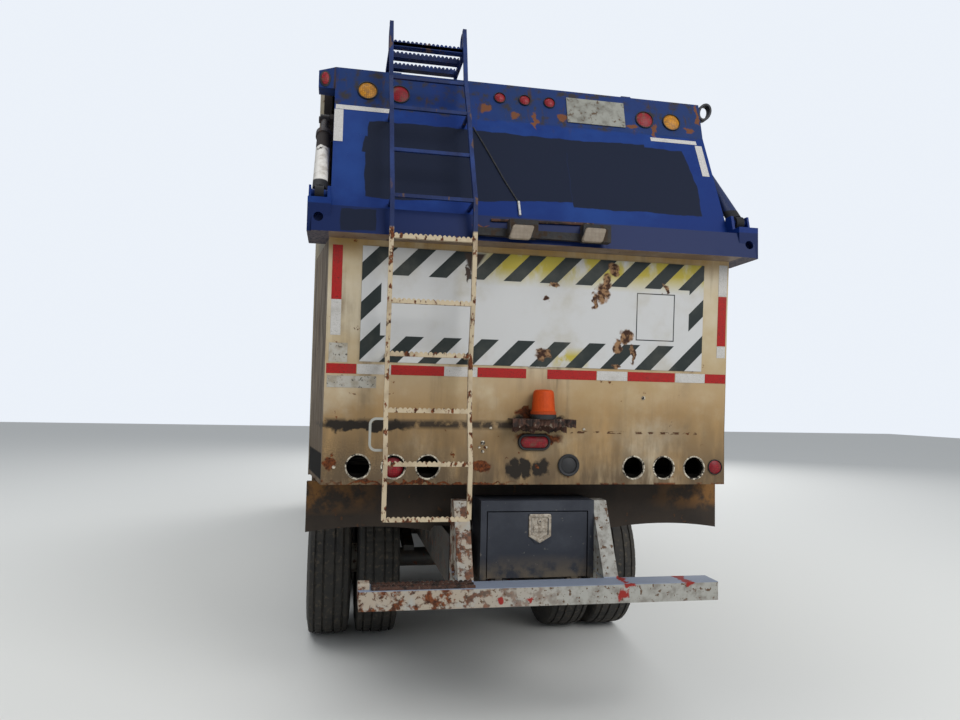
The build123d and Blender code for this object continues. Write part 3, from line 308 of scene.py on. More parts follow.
def surface(points, round_u=False, round_v=False, ends=False):
    """A grid of points as a mesh part: quads between neighbours, closed round either way.

    ends fills the first and the last row of a grid that is round in v."""
    points = np.asarray(points, dtype=float)
    rows, columns = points.shape[:2]
    index = np.arange(rows * columns).reshape(rows, columns)
    if round_u:
        index = np.vstack([index, index[:1]])
    if round_v:
        index = np.hstack([index, index[:, :1]])
    corners = (index[:-1, :-1], index[:-1, 1:], index[1:, 1:], index[1:, :-1])
    faces = np.stack(corners, axis=-1).reshape(-1, 4).tolist()
    if ends:
        faces += [list(range(columns))[::-1], list(range((rows - 1) * columns, rows * columns))]
    return points.reshape(-1, 3), faces


def carried(section, path):
    """A closed (side, up) section carried along a path of points, ends filled.

    At each point the section stands square to the path, with its up axis nearest to Z."""
    path = np.asarray(path, dtype=float)
    section = np.asarray(section, dtype=float)
    ahead = np.gradient(path, axis=0)
    ahead /= np.linalg.norm(ahead, axis=1)[:, None]
    guide = np.where(np.abs(ahead[:, 2:3]) > 0.9, [[0.0, 1.0, 0.0]], [[0.0, 0.0, 1.0]])
    side = np.cross(ahead, guide)
    side /= np.linalg.norm(side, axis=1)[:, None]
    up = np.cross(side, ahead)
    grid = path[:, None] + section[None, :, :1] * side[:, None] + section[None, :, 1:] * up[:, None]
    return surface(grid, round_v=True, ends=True)


def rounded(width, height, radius, steps=4):
    """A rectangle with round corners, centred, as a closed section."""
    turns = np.concatenate([np.linspace(q, q + pi / 2, steps) for q in (0, pi / 2, pi, 3 * pi / 2)])
    corners = np.repeat([(1, 1), (-1, 1), (-1, -1), (1, -1)], steps, axis=0)
    centre = corners * (width / 2 - radius, height / 2 - radius)
    return centre + radius * np.column_stack([np.cos(turns), np.sin(turns)])


def circle(radius, steps=32):
    """A circle as a closed section."""
    turns = np.arange(steps) * tau / steps
    return radius * np.column_stack([np.cos(turns), np.sin(turns)])


def turned_part(profile, centre, axis, steps=48):
    """A profile of (along, radius) points turned about an axis through centre; radius 0 closes a pole."""
    profile = np.asarray(profile, dtype=float)
    axis = np.asarray(axis, dtype=float) / np.linalg.norm(axis)
    first = np.cross(axis, (0, 0, 1) if abs(axis[2]) < 0.9 else (1, 0, 0))
    first /= np.linalg.norm(first)
    second = np.cross(axis, first)
    turns = np.arange(steps) * tau / steps
    ring = np.cos(turns)[:, None] * first + np.sin(turns)[:, None] * second
    grid = np.asarray(centre) + profile[:, None, :1] * axis + profile[:, None, 1:] * ring[None]
    return surface(grid, round_v=True)


def piece(name, parts, material, body, crease=35, bevel=0.0, wall=0.0):
    """One object from parts drawn with y ahead of the tailgate's sill, riding on a body."""
    points = np.concatenate([p for p, _ in parts]) + (0.0, SILL, 0.0)
    faces, start = [], 0
    for part_points, part_faces in parts:
        faces += [[start + i for i in face] for face in part_faces]
        start += len(part_points)
    mesh = bpy.data.meshes.new(name)
    mesh.from_pydata(points.tolist(), [], faces)
    mesh.materials.append(material)
    solid = bmesh.new()
    solid.from_mesh(mesh)
    bmesh.ops.remove_doubles(solid, verts=solid.verts, dist=1e-6)
    bmesh.ops.recalc_face_normals(solid, faces=solid.faces)
    for edge in solid.edges:
        edge.smooth = len(edge.link_faces) == 2 and edge.calc_face_angle(0) < radians(crease)
    for face in solid.faces:
        face.smooth = True
    solid.to_mesh(mesh)
    solid.free()
    shaped = bpy.data.objects.new(name, mesh)
    bpy.context.scene.collection.objects.link(shaped)
    if wall:
        shell = shaped.modifiers.new("wall", "SOLIDIFY")
        shell.thickness = wall
        shell.offset = 0.0
    if bevel:
        edge = shaped.modifiers.new("edge", "BEVEL")
        edge.width = bevel
        edge.segments = 2
    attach(shaped, body)
    return shaped


def plate(x0, x1, z0, z1, proud, thick=0.003):
    """A flat sheet laid on the tailgate's rear face, bent where the face bends."""
    zs = np.unique(np.concatenate([[z0, z1], [z for _, z in GATE_PROFILE if z0 < z < z1]]))
    ys = gate_face(zs) - proud
    outline = ((x0, 0), (x1, 0), (x1, thick), (x0, thick))
    grid = [[(x, y - t, z) for x, t in outline] for y, z in zip(ys, zs)]
    return surface(grid, round_v=True, ends=True)


# Striped board. A thin printed aluminium sheet riveted on the white panel: black and white
# diagonals round a blank field, yellowed along its top where rust water ran down.
BOARD_X = (-0.942, 0.961)
BOARD_Z = (1.948, 2.543)
FIELD = [(-0.842, 2.084), (-0.842, 2.400), (0.876, 2.400), (0.876, 2.084)]
STRIPE_MM = 200.5
STRIPE_LEAN = 0.985
STRIPE_START = -0.657


def ring_of(coat, x0, x1, z0, z1, width):
    """A thin rectangular line drawn round x0..x1 and z0..z1."""
    outer = coat.oblong(x0, x1, z0, z1, 0.001)
    inner = coat.oblong(x0 + width, x1 - width, z0 + width, z1 - width, 0.001)
    return coat.mix("SUBTRACT", outer, inner)


def printed_board():
    """Stripes are black where (x - lean (z - top) - start) / pitch has its fraction under 0.475."""
    coat = Finish("Printed aluminium board")
    along = put(
        coat.tree, "VectorMath", {0: coat.where, 1: (1, 0, -STRIPE_LEAN)}, operation="DOT_PRODUCT")["Value"]
    start = STRIPE_START - STRIPE_LEAN * BOARD_Z[1]
    turn = coat.ramp(along, start, start + STRIPE_MM / 1000, clamp=False)
    part = put(coat.tree, "Math", {0: turn}, operation="FRACT")[0]
    stripe = coat.ramp(part, 0.478, 0.472)
    black = coat.mix("SUBTRACT", stripe, coat.within(FIELD, 0.002))
    frame_line = ring_of(coat, 0.562, 0.789, 2.109, 2.373, 0.006)
    stain = coat.both(
        coat.patches(110, 0.30, 0.55, stretch=(1, 1, 0.5)),
        coat.both(coat.fade(2, 2.37, 2.47), coat.fade(0, -0.36, -0.22)))
    stain = coat.mix(
        "MAXIMUM", stain, coat.both((90, 0.40, 0.55), coat.oblong(0.08, 0.30, 1.94, 2.06, 0.05)))
    stain = coat.mix("SUBTRACT", stain, black)
    thin_on_black = put(coat.tree, "Math", {0: black, 1: -0.85, 2: 1.0}, operation="MULTIPLY_ADD")[0]
    film = coat.both((260, 0.45, 0.85), thin_on_black)
    sores = coat.spots([
        (0.424, 2.490, 0.036, 0.034), (0.385, 2.425, 0.028, 0.045), (0.362, 2.360, 0.042, 0.050),
        (0.318, 2.320, 0.016, 0.050), (0.503, 2.125, 0.040, 0.040), (0.462, 2.075, 0.030, 0.034),
        (0.555, 2.030, 0.014, 0.055), (0.455, 1.960, 0.028, 0.012), (0.033, 2.022, 0.040, 0.036),
        (0.089, 2.390, 0.028, 0.016), (0.050, 2.320, 0.018, 0.020), (0.735, 2.395, 0.016, 0.024)])
    crusted = coat.both(sores, (26, 0.40, 0.56, 8.0))
    scar = coat.mix(
        "MAXIMUM", coat.within([(-0.395, 2.46), (-0.419, 2.543), (-0.285, 2.543), (-0.365, 2.410)], 0.012),
        coat.spots([(-0.392, 2.435, 0.014, 0.045)]))
    return coat.close(
        [(None, "b9b9b8", 0.45), (black, "1c2423", 0.45), (frame_line, "26292b", 0.4),
         (film, "a39c8c", 0.6), (stain, "a99a3c", 0.6), (scar, "3d322b", 0.85), (sores, "8a6a4c", 0.9),
         (crusted, DARK_RUST, 0.9)],
        bump=sores, depth_mm=0.4, Specular_IOR_Level=0.3)


piece("striped_board", [plate(*BOARD_X, *BOARD_Z, 0.001)], printed_board(), "tailgate")

# Reflective tape. Two inch retroreflective sheeting in 11 inch red and 7 inch white lengths,
# stuck on the enamel; the sheeting has a fine cell pattern under its clear face.
TAPE = 0.0508
TAPE_Z = 1.909
RED_SPANS = (
    (-1.108, -0.957), (-0.778, -0.500), (-0.321, -0.055), (0.063, 0.342), (0.524, 0.803), (0.986, 1.112))
WHITE_SPANS = ((-0.953, -0.780), (-0.500, -0.323), (0.345, 0.521), (0.807, 0.985))
UPRIGHT_RED = ((-1.068, 2.262, 2.540), (1.079, 2.095, 2.374))
UPRIGHT_WHITE = ((-1.068, 2.080, 2.262), (1.079, 2.376, 2.552), (1.079, 2.028, 2.093))
HOOD_WHITE = (
    (-1.112, -1.063, 3.147, 3.363), (-1.106, -0.803, 3.366, 3.396), (1.045, 1.090, 3.120, 3.340),
    (0.762, 1.060, 3.346, 3.373))
CLEAR_FACE, CLEAR_FACE_THICK = 0.0005, 0.001


def reflective_tape(name, joints, hue, dusty):
    """Sheeting of cells in one hue, with darker joints between them and dust over both."""
    coat = Finish(name)
    cells = coat.ramp(coat.cells(6.0, feature="DISTANCE_TO_EDGE"), 0.02, 0.10)
    return coat.close(
        [(None, joints, 0.45), (cells, hue, 0.4), ((90, 0.5, 0.9), dusty, 0.6)], Specular_IOR_Level=0.3)


def strips(level, upright):
    """Level strips from x0 to x1 in the long row, and upright ones at x from z0 to z1."""
    half = TAPE / 2
    spans = [(x0, x1, TAPE_Z - half, TAPE_Z + half) for x0, x1 in level]
    spans += [(x - half, x + half, z0, z1) for x, z0, z1 in upright]
    return [plate(*span, CLEAR_FACE, CLEAR_FACE_THICK) for span in spans]


red_tape = reflective_tape("Red retroreflective sheeting", "5a1712", "a61210", "7d2f26")
white_tape = reflective_tape("White retroreflective sheeting", "9a9892", "bdbab6", "98928a")
piece("red_tapes", strips(RED_SPANS, UPRIGHT_RED), red_tape, "tailgate")
hood_strips = [plate(*span, CLEAR_FACE, CLEAR_FACE_THICK) for span in HOOD_WHITE]
piece("white_tapes", strips(WHITE_SPANS, UPRIGHT_WHITE) + hood_strips, white_tape, "tailgate")

# Nameplate. A cast aluminium plate at the top of the hood, left bare, dulled and freckled
# with dirt; small screws hold its corners.
aluminium = Finish("Weathered aluminium sheet").close(
    [(None, "86867e", 0.6), ((60, 0.4, 0.7), "6c6a62", 0.7), ((30, 0.6, 0.66), "5a4a3c", 0.8)],
    Metallic=0.2, Specular_IOR_Level=0.3)
piece(
    "nameplate", [plate(0.245, 0.610, 3.423, 3.590, 0.001, 0.006)], aluminium, "tailgate",
    bevel=0.002)

# Screws and studs. Hexagon heads that hold the plates and lamps; the rear face gives each
# its place and the way it points.


def stud(centre, axis, radius=0.007, height=0.005):
    """A hexagon head: its profile is a flat side, a small chamfer and a flat top, turned in six."""
    profile = [
        (-0.004, 0.0), (-0.004, radius), (height * 0.7, radius), (height, radius * 0.8), (height, 0.0)]
    return turned_part(profile, centre, axis, 6)


def on_face(x, z, proud=0.0):
    """The point of the tailgate's rear face at x and z, moved out by proud."""
    return np.array([x, gate_face(z) - proud, z])


def face_normal(z):
    """The rear face's outward direction at height z."""
    rise = gate_face(z + 0.01) - gate_face(z - 0.01)
    normal = np.array([0.0, -0.02, rise])
    return normal / np.linalg.norm(normal)


screws = [
    stud(on_face(x, z, 0.007), face_normal(z), 0.006, 0.003) for x in (0.257, 0.598)
    for z in (3.435, 3.578)]
piece("nameplate_screws", screws, aluminium, "tailgate")

# Small labels. Blank vinyl and paper labels, grey with age and flecked with dirt, stuck on
# the white enamel beside and below the striped board.
label = Finish("Aged blank vinyl label").close([
    (None, "a39f95", 0.5), ((50, 0.4, 0.7), "8a8170", 0.7), ((14, 0.6, 0.64), "4f4a42", 0.8)])
LABELS = (
    (-1.098, -1.004, 1.942, 2.040, 0.0005), (-1.103, -0.853, 1.812, 1.873, 0.0005),
    (-0.045, 0.060, 1.940, 2.102, 0.0025))
piece("small_labels", [plate(*place, 0.001) for place in LABELS], label, "tailgate")

# Lamps. Each sits in a black rubber grommet pressed into its hole; the lenses are moulded
# polycarbonate, dimpled inside, and dusty. Rust runs down from the holes.
rubber = Finish("Black rubber grommet").close(
    [(None, "19191b", 0.6), ((30, 0.50, 0.8), "2b2826", 0.8)], bump=(3, 0.3, 0.7), depth_mm=0.15)


def lens_plastic(name, hue, deep, cell_mm=11.0):
    """Clear coloured polycarbonate over round reflector cells."""
    coat = Finish(name)
    cells = coat.ramp(coat.cells(cell_mm, randomness=0.35), 0.15, 0.5)
    dust = coat.patches(40, 0.45, 0.8)
    return coat.close(
        [(None, hue, 0.4), (cells, deep, 0.45), (dust, "5d4d3e", 0.6)], bump=cells, depth_mm=0.6,
        Specular_IOR_Level=0.25)


amber_lens = lens_plastic("Amber polycarbonate lens", "cc8c1c", "a06a18")
red_lens = lens_plastic("Red polycarbonate lens", "961a26", "74121c")


def grommet(centre, axis, radius):
    """A rubber ring: a rounded lip outside and a shallow seat for the lens."""
    r = radius
    profile = [
        (-0.02, r * 0.86), (-0.02, r * 0.99), (0.004, r), (0.009, r * 0.97), (0.010, r * 0.92),
        (0.006, r * 0.87), (-0.02, r * 0.86)]
    return turned_part(profile, centre, axis)


def lens(centre, axis, radius):
    """A low dome: depth falls with the square of the distance from its centre."""
    along = np.linspace(0.0, 1.0, 7)
    profile = [(-0.02, 0.0), (-0.02, radius)]
    profile += [(0.004 + 0.010 * (1 - t * t), radius * t) for t in along[::-1]]
    return turned_part(profile, centre, axis)


HOOD_LAMP_Z = 3.490
AMBERS, REDS = ((-0.932, 3.500), (0.914, 3.490)), ((-0.751, 3.496), (0.738, 3.490))
MARKER_X, MARKER_Z = (-0.164, -0.013, 0.139), 3.540
hood_axis = face_normal(HOOD_LAMP_Z)
rings = [grommet(on_face(x, z), hood_axis, 0.0585) for x, z in AMBERS + REDS]
rings += [grommet(on_face(x, MARKER_Z), hood_axis, 0.036) for x in MARKER_X]
piece("hood_lamp_grommets", rings, rubber, "tailgate")
domes = [lens(on_face(x, z), hood_axis, 0.050) for x, z in AMBERS]
ambers = piece("hood_amber_lamps", domes, amber_lens, "tailgate")
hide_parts("rear_lamps")
domes = [lens(on_face(x, z), hood_axis, 0.050) for x, z in REDS]
domes += [lens(on_face(x, MARKER_Z), hood_axis, 0.030) for x in MARKER_X]
piece("hood_red_lamps", domes, red_lens, "tailgate")


def stacked(rows, **closing):
    """Closed (x, z) outlines joined in turn, each given as (y, outline)."""
    grid = [np.insert(line, 1, y, axis=1) for y, line in rows]
    return surface(grid, round_v=True, **closing)


def oval_rows(centre, half_w, half_h, rows, steps=40):
    """An ellipse carried rearwards: each (out, grow) row is the ellipse times grow, out from centre."""
    x, y, z = centre
    oval = circle(1.0, steps) * (half_w, half_h)
    return stacked([(y - out, oval * grow + (x, z)) for out, grow in rows], ends=True)


def oval_ring(centre, half_w, half_h, lean, wide, deep, steps=48):
    """A rounded band of section wide by deep round an ellipse that leans over in x and z."""
    line = circle(1.0, steps) * (half_w, half_h)
    out = circle(1.0, steps) / (half_w, half_h)
    out /= np.linalg.norm(out, axis=1)[:, None]
    band = rounded(wide, deep, 0.004)
    flat = line[:, None] + out[:, None] * band[None, :, :1]
    x = flat[..., 0] * cos(lean) + flat[..., 1] * sin(lean)
    z = flat[..., 1] * cos(lean) - flat[..., 0] * sin(lean)
    y = np.broadcast_to(band[None, :, 1], x.shape)
    return surface(
        np.stack([centre[0] + x, centre[1] + y, centre[2] + z], axis=-1), round_u=True, round_v=True)


CORNER_LAMP = (-1.169, 0.285, 3.550)
seat = oval_rows(CORNER_LAMP, 0.030, 0.045, [(-0.001, 1.0), (0.004, 1.0), (0.006, 0.93), (0.006, 0.5)])
ring = oval_ring((1.155, 0.3225, 3.593), 0.0355, 0.0515, radians(25), 0.0148, 0.0470)
piece("corner_lamp_rubber", [seat, ring], rubber, "tailgate")
dome = [(-0.001, 1.0), (0.0105, 1.0), (0.0135, 0.85), (0.0150, 0.5), (0.0153, 0.02)]
piece("corner_lamp_lens", [oval_rows(CORNER_LAMP, 0.021, 0.035, dome)], red_lens, "tailgate")

# Sill lamps. Six holes cut for lamps, five of them empty with their edges chipped to steel; a
# red lamp is left deep in one, with a black rubber-faced lamp, a small red one and an oval one beside.
HOLE_X, HOLE_Z, HOLE_R = (-0.933, -0.751, -0.572, 0.572, 0.751, 0.933), 1.407, 0.060
REAR_WARD = (0.0, -1.0, 0.0)
chipped = Finish("Chipped steel hole edge").close(
    [(None, "7d7466", 0.6), ((14, 0.42, 0.56), "c9c0ac", 0.5), ((20, 0.5, 0.6), "2a241e", 0.9)],
    bump=(8, 0.4, 0.6), depth_mm=0.5)
edge = [
    (-0.012, HOLE_R - 0.002), (0.002, HOLE_R - 0.001), (0.003, HOLE_R + 0.005), (-0.002, HOLE_R + 0.008),
    (-0.012, HOLE_R - 0.002)]
rims = [turned_part(edge, on_face(x, HOLE_Z), REAR_WARD) for x in HOLE_X]
piece("sill_hole_edges", rims, chipped, "tailgate")
SMALL_RED = on_face(1.059, 1.412)
domes = [lens((HOLE_X[1], 0.030, HOLE_Z - 0.006), REAR_WARD, 0.052), lens(SMALL_RED, REAR_WARD, 0.037)]
piece("recessed_red_lamp", domes, red_lens, "tailgate")
FACE = [
    (-0.02, 0.0), (-0.02, 0.058), (0.010, 0.060), (0.014, 0.055), (0.012, 0.046), (0.005, 0.042),
    (0.008, 0.030), (0.012, 0.012), (0.012, 0.0)]
rubbers = [turned_part(FACE, on_face(0.195, 1.420), REAR_WARD), grommet(SMALL_RED, REAR_WARD, 0.043)]
piece("rubber_faced_lamp", rubbers, rubber, "tailgate")


def oval_part(centre, width, height, profile, steps=48):
    """A long-round form on the rear face: each (out, inset) row is the outline drawn in by inset."""
    x, y, z = centre
    rows = []
    for out, inset in profile:
        w, h = width - 2 * inset, height - 2 * inset
        ring = rounded(w, h, min(w, h) / 2 - 0.0005, steps // 4)
        rows.append((y - out, ring + (x, z)))
    return stacked(rows, ends=True)


OVAL_AT = on_face(0.0, 1.542)
seat = [(-0.01, 0), (0.010, 0), (0.016, 0.004), (0.016, 0.010), (0.010, 0.014)]
piece("oval_lamp_grommet", [oval_part(OVAL_AT, 0.180, 0.090, seat)], rubber, "tailgate")
dome = [(-0.01, 0), (0.012, 0), (0.019, 0.006), (0.022, 0.016), (0.023, 0.029)]
piece("oval_red_lamp", [oval_part(OVAL_AT, 0.150, 0.060, dome)], red_lens, "tailgate")

# Bolt marks. Where fittings were torn off the white panel, stubs of their bolts are left,
# chipped and rusted like the edges of the holes.
STUBS = (
    (-0.281, 1.535, 0.013), (-0.262, 1.512, 0.007), (-0.300, 1.512, 0.007), (-0.281, 1.490, 0.009),
    (0.62, 1.792, 0.012), (-0.24, 1.615, 0.008), (0.28, 1.615, 0.008), (-1.055, 1.405, 0.009))
stubs = [stud(on_face(x, z), REAR_WARD, r, 0.004) for x, z, r in STUBS]
piece("rusted_stubs", stubs, chipped, "tailgate")

# Beacon. A tapered orange lens on a dark flange, on a shelf bracket that has rusted and
# flaked along both ends.
BEACON_AT = (0.030, -0.070)
BEACON_RIBS = 48.0
coat = Finish("Orange polycarbonate beacon lens")
x, y, _ = put(coat.tree, "SeparateXYZ", {0: coat.where})[:3]
ahead = put(coat.tree, "Math", {0: y, 1: SILL + BEACON_AT[1]}, operation="SUBTRACT")[0]
aside = put(coat.tree, "Math", {0: x, 1: BEACON_AT[0]}, operation="SUBTRACT")[0]
angle = put(coat.tree, "Math", {0: ahead, 1: aside}, operation="ARCTAN2")[0]
turns = put(coat.tree, "Math", {0: angle, 1: BEACON_RIBS}, operation="MULTIPLY")[0]
ribs = put(coat.tree, "Math", {0: turns}, operation="SINE")[0]
beacon_lens = coat.close(
    [(None, "b8420a", 0.5), ((60, 0.4, 0.8), "9c360a", 0.5), (coat.fade(2, 1.712, 1.708), "9a3a12", 0.5)],
    bump=ribs, depth_mm=0.4, Specular_IOR_Level=0.2)
UPWARD = (0, 0, 1)
DOME = [
    (1.693, 0.0), (1.693, 0.068), (1.708, 0.068), (1.712, 0.062), (1.800, 0.056), (1.816, 0.052),
    (1.823, 0.042), (1.826, 0.0)]
beacon_shape = piece(
    "beacon_lens", [turned_part(DOME, (*BEACON_AT, 0), UPWARD)], beacon_lens, "tailgate")
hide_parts("beacon")
FLANGE = [(1.668, 0.0), (1.668, 0.066), (1.676, 0.070), (1.690, 0.070), (1.694, 0.066), (1.694, 0.0)]
piece("beacon_flange", [turned_part(FLANGE, (*BEACON_AT, 0), UPWARD)], rubber, "tailgate")
flaking = Finish("Flaking rusted bracket steel").close(
    [(None, "4a3024", 0.9), ((26, 0.60, 0.68), "7d7060", 0.7), ((40, 0.45, 0.6), "241a15", 0.95)],
    bump=(10, 0.35, 0.65), depth_mm=1.2)


def ragged_shelf(x0, x1, y0, y1, z0, z1, teeth=40):
    """A shelf whose rear edge and lip are eaten: the edge moves with a sum of three sines along x."""
    x = np.linspace(x0, x1, teeth)
    eaten = 0.006 * np.sin(x * 61) + 0.004 * np.sin(x * 143 + 1) + 0.003 * np.sin(x * 311 + 2)
    rows = [
        [(a, y1, z1), (a, y0 + e, z1), (a, y0 + e, z0 + e), (a, y0 + e + 0.005, z0 + e),
         (a, y0 + 0.006, z1 - 0.005), (a, y1, z1 - 0.005)]
        for a, e in zip(x, eaten)]
    return surface(np.array(rows), round_v=True, ends=True)


shelves = [ragged_shelf(-0.148, 0.195, -0.120, -0.003, 1.630, 1.668)]
shelves.append(ragged_shelf(-0.130, 0.170, -0.036, -0.002, 1.600, 1.640))
piece("beacon_bracket", shelves, flaking, "tailgate")

# Work lights. Two lamps with milky ribbed lenses hang from a rusted bar that is welded along
# the tailgate's ledge; a black wire comes down the hood to a white connector above them.
coat = Finish("Black lamp housing and rusted bar")
behind = coat.fade(1, SILL - 0.196, SILL - 0.192)
lamp_body = coat.close(
    [(None, "201f20", 0.5), ((40, 0.5, 0.6), "33281f", 0.85), ((70, 0.45, 0.8), "3a352f", 0.7),
     (behind, "162955", 0.45)],
    bump=(12, 0.4, 0.6), depth_mm=0.5, Specular_IOR_Level=0.2)
wear(lamp_body, "work_lights")
coat = Finish("Milky ribbed lamp lens")
rib = coat.cells(20.0, randomness=0.15)
milky = coat.close(
    [(None, "8c8070", 0.5), (rib, "6d6254", 0.55), ((30, 0.4, 0.7), "75695a", 0.6)], bump=rib, depth_mm=0.8,
    Specular_IOR_Level=0.3)
WORK_LENSES = ((-0.158, 2.614), (0.228, 2.623))


def leaning_lens(x, y, z, width, height, lean):
    """A rounded window whose sides lean over by lean times the height, drawn in towards its crown."""
    ring = rounded(width, height, 0.012, 6)
    ring[:, 0] += ring[:, 1] * lean
    rows = ((-0.01, 1.0), (0.004, 1.0), (0.010, 0.94), (0.011, 0.5), (0.011, 0.02))
    return stacked([(y - out, ring * shrink + (x, z)) for out, shrink in rows], ends=True)


lenses = [leaning_lens(x, -0.278, z, 0.112, 0.074, 0.30) for x, z in WORK_LENSES]
piece("work_light_lenses", lenses, milky, "tailgate")
hanger = [carried(rounded(0.012, 0.014, 0.003), [(-0.296, -0.176, 2.692), (0.262, -0.172, 2.706)])]
hanger += [
    carried(rounded(0.020, 0.004, 0.001), [(x, -0.178, 2.694), (x, -0.210, 2.688), (x, -0.235, 2.674)])
    for x in (-0.19, -0.10, 0.20, 0.29)]
piece("work_light_hangers", hanger, flaking, "tailgate")
wire = Finish("Black wire insulation").close([(None, "17181a", 0.45), ((25, 0.5, 0.7), "38342f", 0.7)])


def along_face(points, proud, count=40):
    """Points eased along a route of (x, z) on the rear face, held proud of it."""
    points = np.array(points)
    t = np.linspace(0, len(points) - 1, count)
    x = np.interp(t, range(len(points)), points[:, 0])
    z = np.interp(t, range(len(points)), points[:, 1])
    return np.column_stack([x, gate_face(z) - proud, z])


WIRE_ROUTE = [
    (-0.332, 3.322), (-0.295, 3.245), (-0.261, 3.170), (-0.220, 3.075), (-0.179, 2.979), (-0.140, 2.900),
    (-0.112, 2.843)]
cord = carried(circle(0.0045, 8), along_face(WIRE_ROUTE, 0.004))
piece("lamp_wire", [cord], wire, "tailgate")
connector = Finish("White nylon connector").close([(None, "b9b8b2", 0.4), ((20, 0.5, 0.7), "8d887d", 0.6)])
plug = carried(rounded(0.012, 0.012, 0.003), [on_face(-0.111, z, 0.008) for z in (2.846, 2.800, 2.760)])
piece("wire_connector", [plug], connector, "tailgate")

# Ladder. Flat steel rails with folded treads, painted with the tailgate: navy above, white
# below, where the paint has gone to rust. The treads' top edges are cut in teeth for grip.
coat = Finish("Chipped paint on the ladder steel")
bare = coat.patches(26, 0.54, 0.60, stretch=(1, 1, 0.5), detail=8.0)
scrape = coat.patches(90, 0.60, 0.63, stretch=(1, 1, 0.3), detail=8.0)
low = coat.paint([(None, "b5a58a", 0.5), ((120, 0.45, 0.75), "94826a", 0.6), (bare, coat.rust(), 0.9)])
high = coat.paint([(None, "13224a", 0.5), ((150, 0.4, 0.7), "1e3468", 0.6), (scrape, "54433f", 0.85)])
above = coat.fade(2, 2.60, 2.61)
handle = coat.oblong(-0.90, -0.823, 1.49, 1.68, 0.002)
ladder_paint = coat.close(
    [(None, *low), (above, *high), (handle, "98978f", 0.5)], bump=bare, depth_mm=0.5,
    Specular_IOR_Level=0.2)
wear(ladder_paint, "ladder")
LADDER_X = (-0.810, -0.390)
RUNG_AT = [
    (-0.226, 1.170), (-0.240, 1.440), (-0.182, 1.700), (-0.182, 1.980), (-0.225, 2.240), (-0.245, 2.560),
    (-0.232, 2.770), (-0.090, 3.050), (0.024, 3.320), (0.148, 3.540)]
TREAD_Y = (0.240, 0.375, 0.518)
TREAD_SHEET = 0.004


def toothed(x0, x1, y, z, high, deep, pitch=0.024):
    """A tread: a strip along x whose top edge rises and falls as a half wave in every pitch."""
    x = np.linspace(x0, x1, int((x1 - x0) / pitch) * 8 + 1)
    top = z + high * np.abs(np.sin(pi * (x - x0) / pitch)) ** 0.6
    foot, rear = np.full_like(x, z - high), y - deep
    edges = [(rear, foot), (rear, top), (rear + TREAD_SHEET, top), (rear + TREAD_SHEET, foot)]
    grid = np.stack([np.column_stack([x, np.full_like(x, at), up]) for at, up in edges], axis=1)
    return surface(grid, round_v=True, ends=True)


RAIL_THICK, PLATFORM_Z = 0.022, 3.772
inside = (LADDER_X[0] + RAIL_THICK / 2, LADDER_X[1] - RAIL_THICK / 2)
treads = [toothed(*inside, y - 0.006, z + 0.004, 0.013, 0.008) for y, z in RUNG_AT[:6]]
treads += [toothed(*inside, y + dy, PLATFORM_Z, 0.016, 0.0) for y in TREAD_Y for dy in (-0.025, 0.021)]
piece("ladder_teeth", treads, ladder_paint, "tailgate")

# Sump and toolbox. The sill below the tailgate is dark, oily and rusted; the toolbox is black
# powder-coated sheet with a raised frame round its door and a plain bare latch.
coat = Finish("Oily rusted sill steel")
amber_rust = coat.both(coat.either_side(0.75, 1.15), (90, 0.4, 0.6))
sump_steel = coat.close(
    [(None, "352d26", 0.7), ((200, 0.4, 0.7), "28221d", 0.6),
     (coat.both(amber_rust, coat.fade(2, 1.12, 1.2)), "75532f", 0.85),
     ((50, 0.62, 0.68, 8.0), "4c3626", 0.9)],
    bump=amber_rust, depth_mm=0.8, Specular_IOR_Level=0.2)
wear(sump_steel, "rear_sump")
coat = Finish("Black powder-coated sheet")
powder = coat.close(
    [(None, "2a2d35", 0.5), ((260, 0.4, 0.75), "3b3e45", 0.6), ((30, 0.64, 0.68, 8.0), "5c5a56", 0.7),
     (coat.both(coat.fade(2, 0.95, 0.82), (80, 0.35, 0.6)), "5a5145", 0.8)],
    bump=(2, 0.3, 0.7), depth_mm=0.1, Specular_IOR_Level=0.25)
wear(powder, "toolbox", "toolbox_door")
zinc = Finish("Weathered cast zinc").close(
    [(None, "a39a8c", 0.5), ((16, 0.42, 0.62), "85796a", 0.6), ((7, 0.60, 0.66), "453a31", 0.8)],
    bump=(4, 0.35, 0.65), depth_mm=0.2, Metallic=0.25)
LATCH_X, LATCH_Z = 0.041, 1.082
SHIELD_HALF = 0.062
SHIELD = np.array([
    (-0.062, -0.042), (-0.062, 0.066), (-0.059, 0.073), (-0.052, 0.076), (0.052, 0.076), (0.059, 0.073),
    (0.062, 0.066), (0.062, -0.042), (0.0, -0.078)])


def latch_plate():
    """The shield outline drawn in row by row, each (y, inset): outer wall, rim, dish wall and floor."""
    rows = [
        (0.0032, 0.0), (-0.0030, 0.0), (-0.0042, 0.002), (-0.0042, 0.012), (-0.0030, 0.0145),
        (0.0088, 0.0168), (0.0092, 0.030)]
    return stacked(
        [(y, SHIELD * (1 - inset / SHIELD_HALF) + (LATCH_X, LATCH_Z)) for y, inset in rows], ends=True)


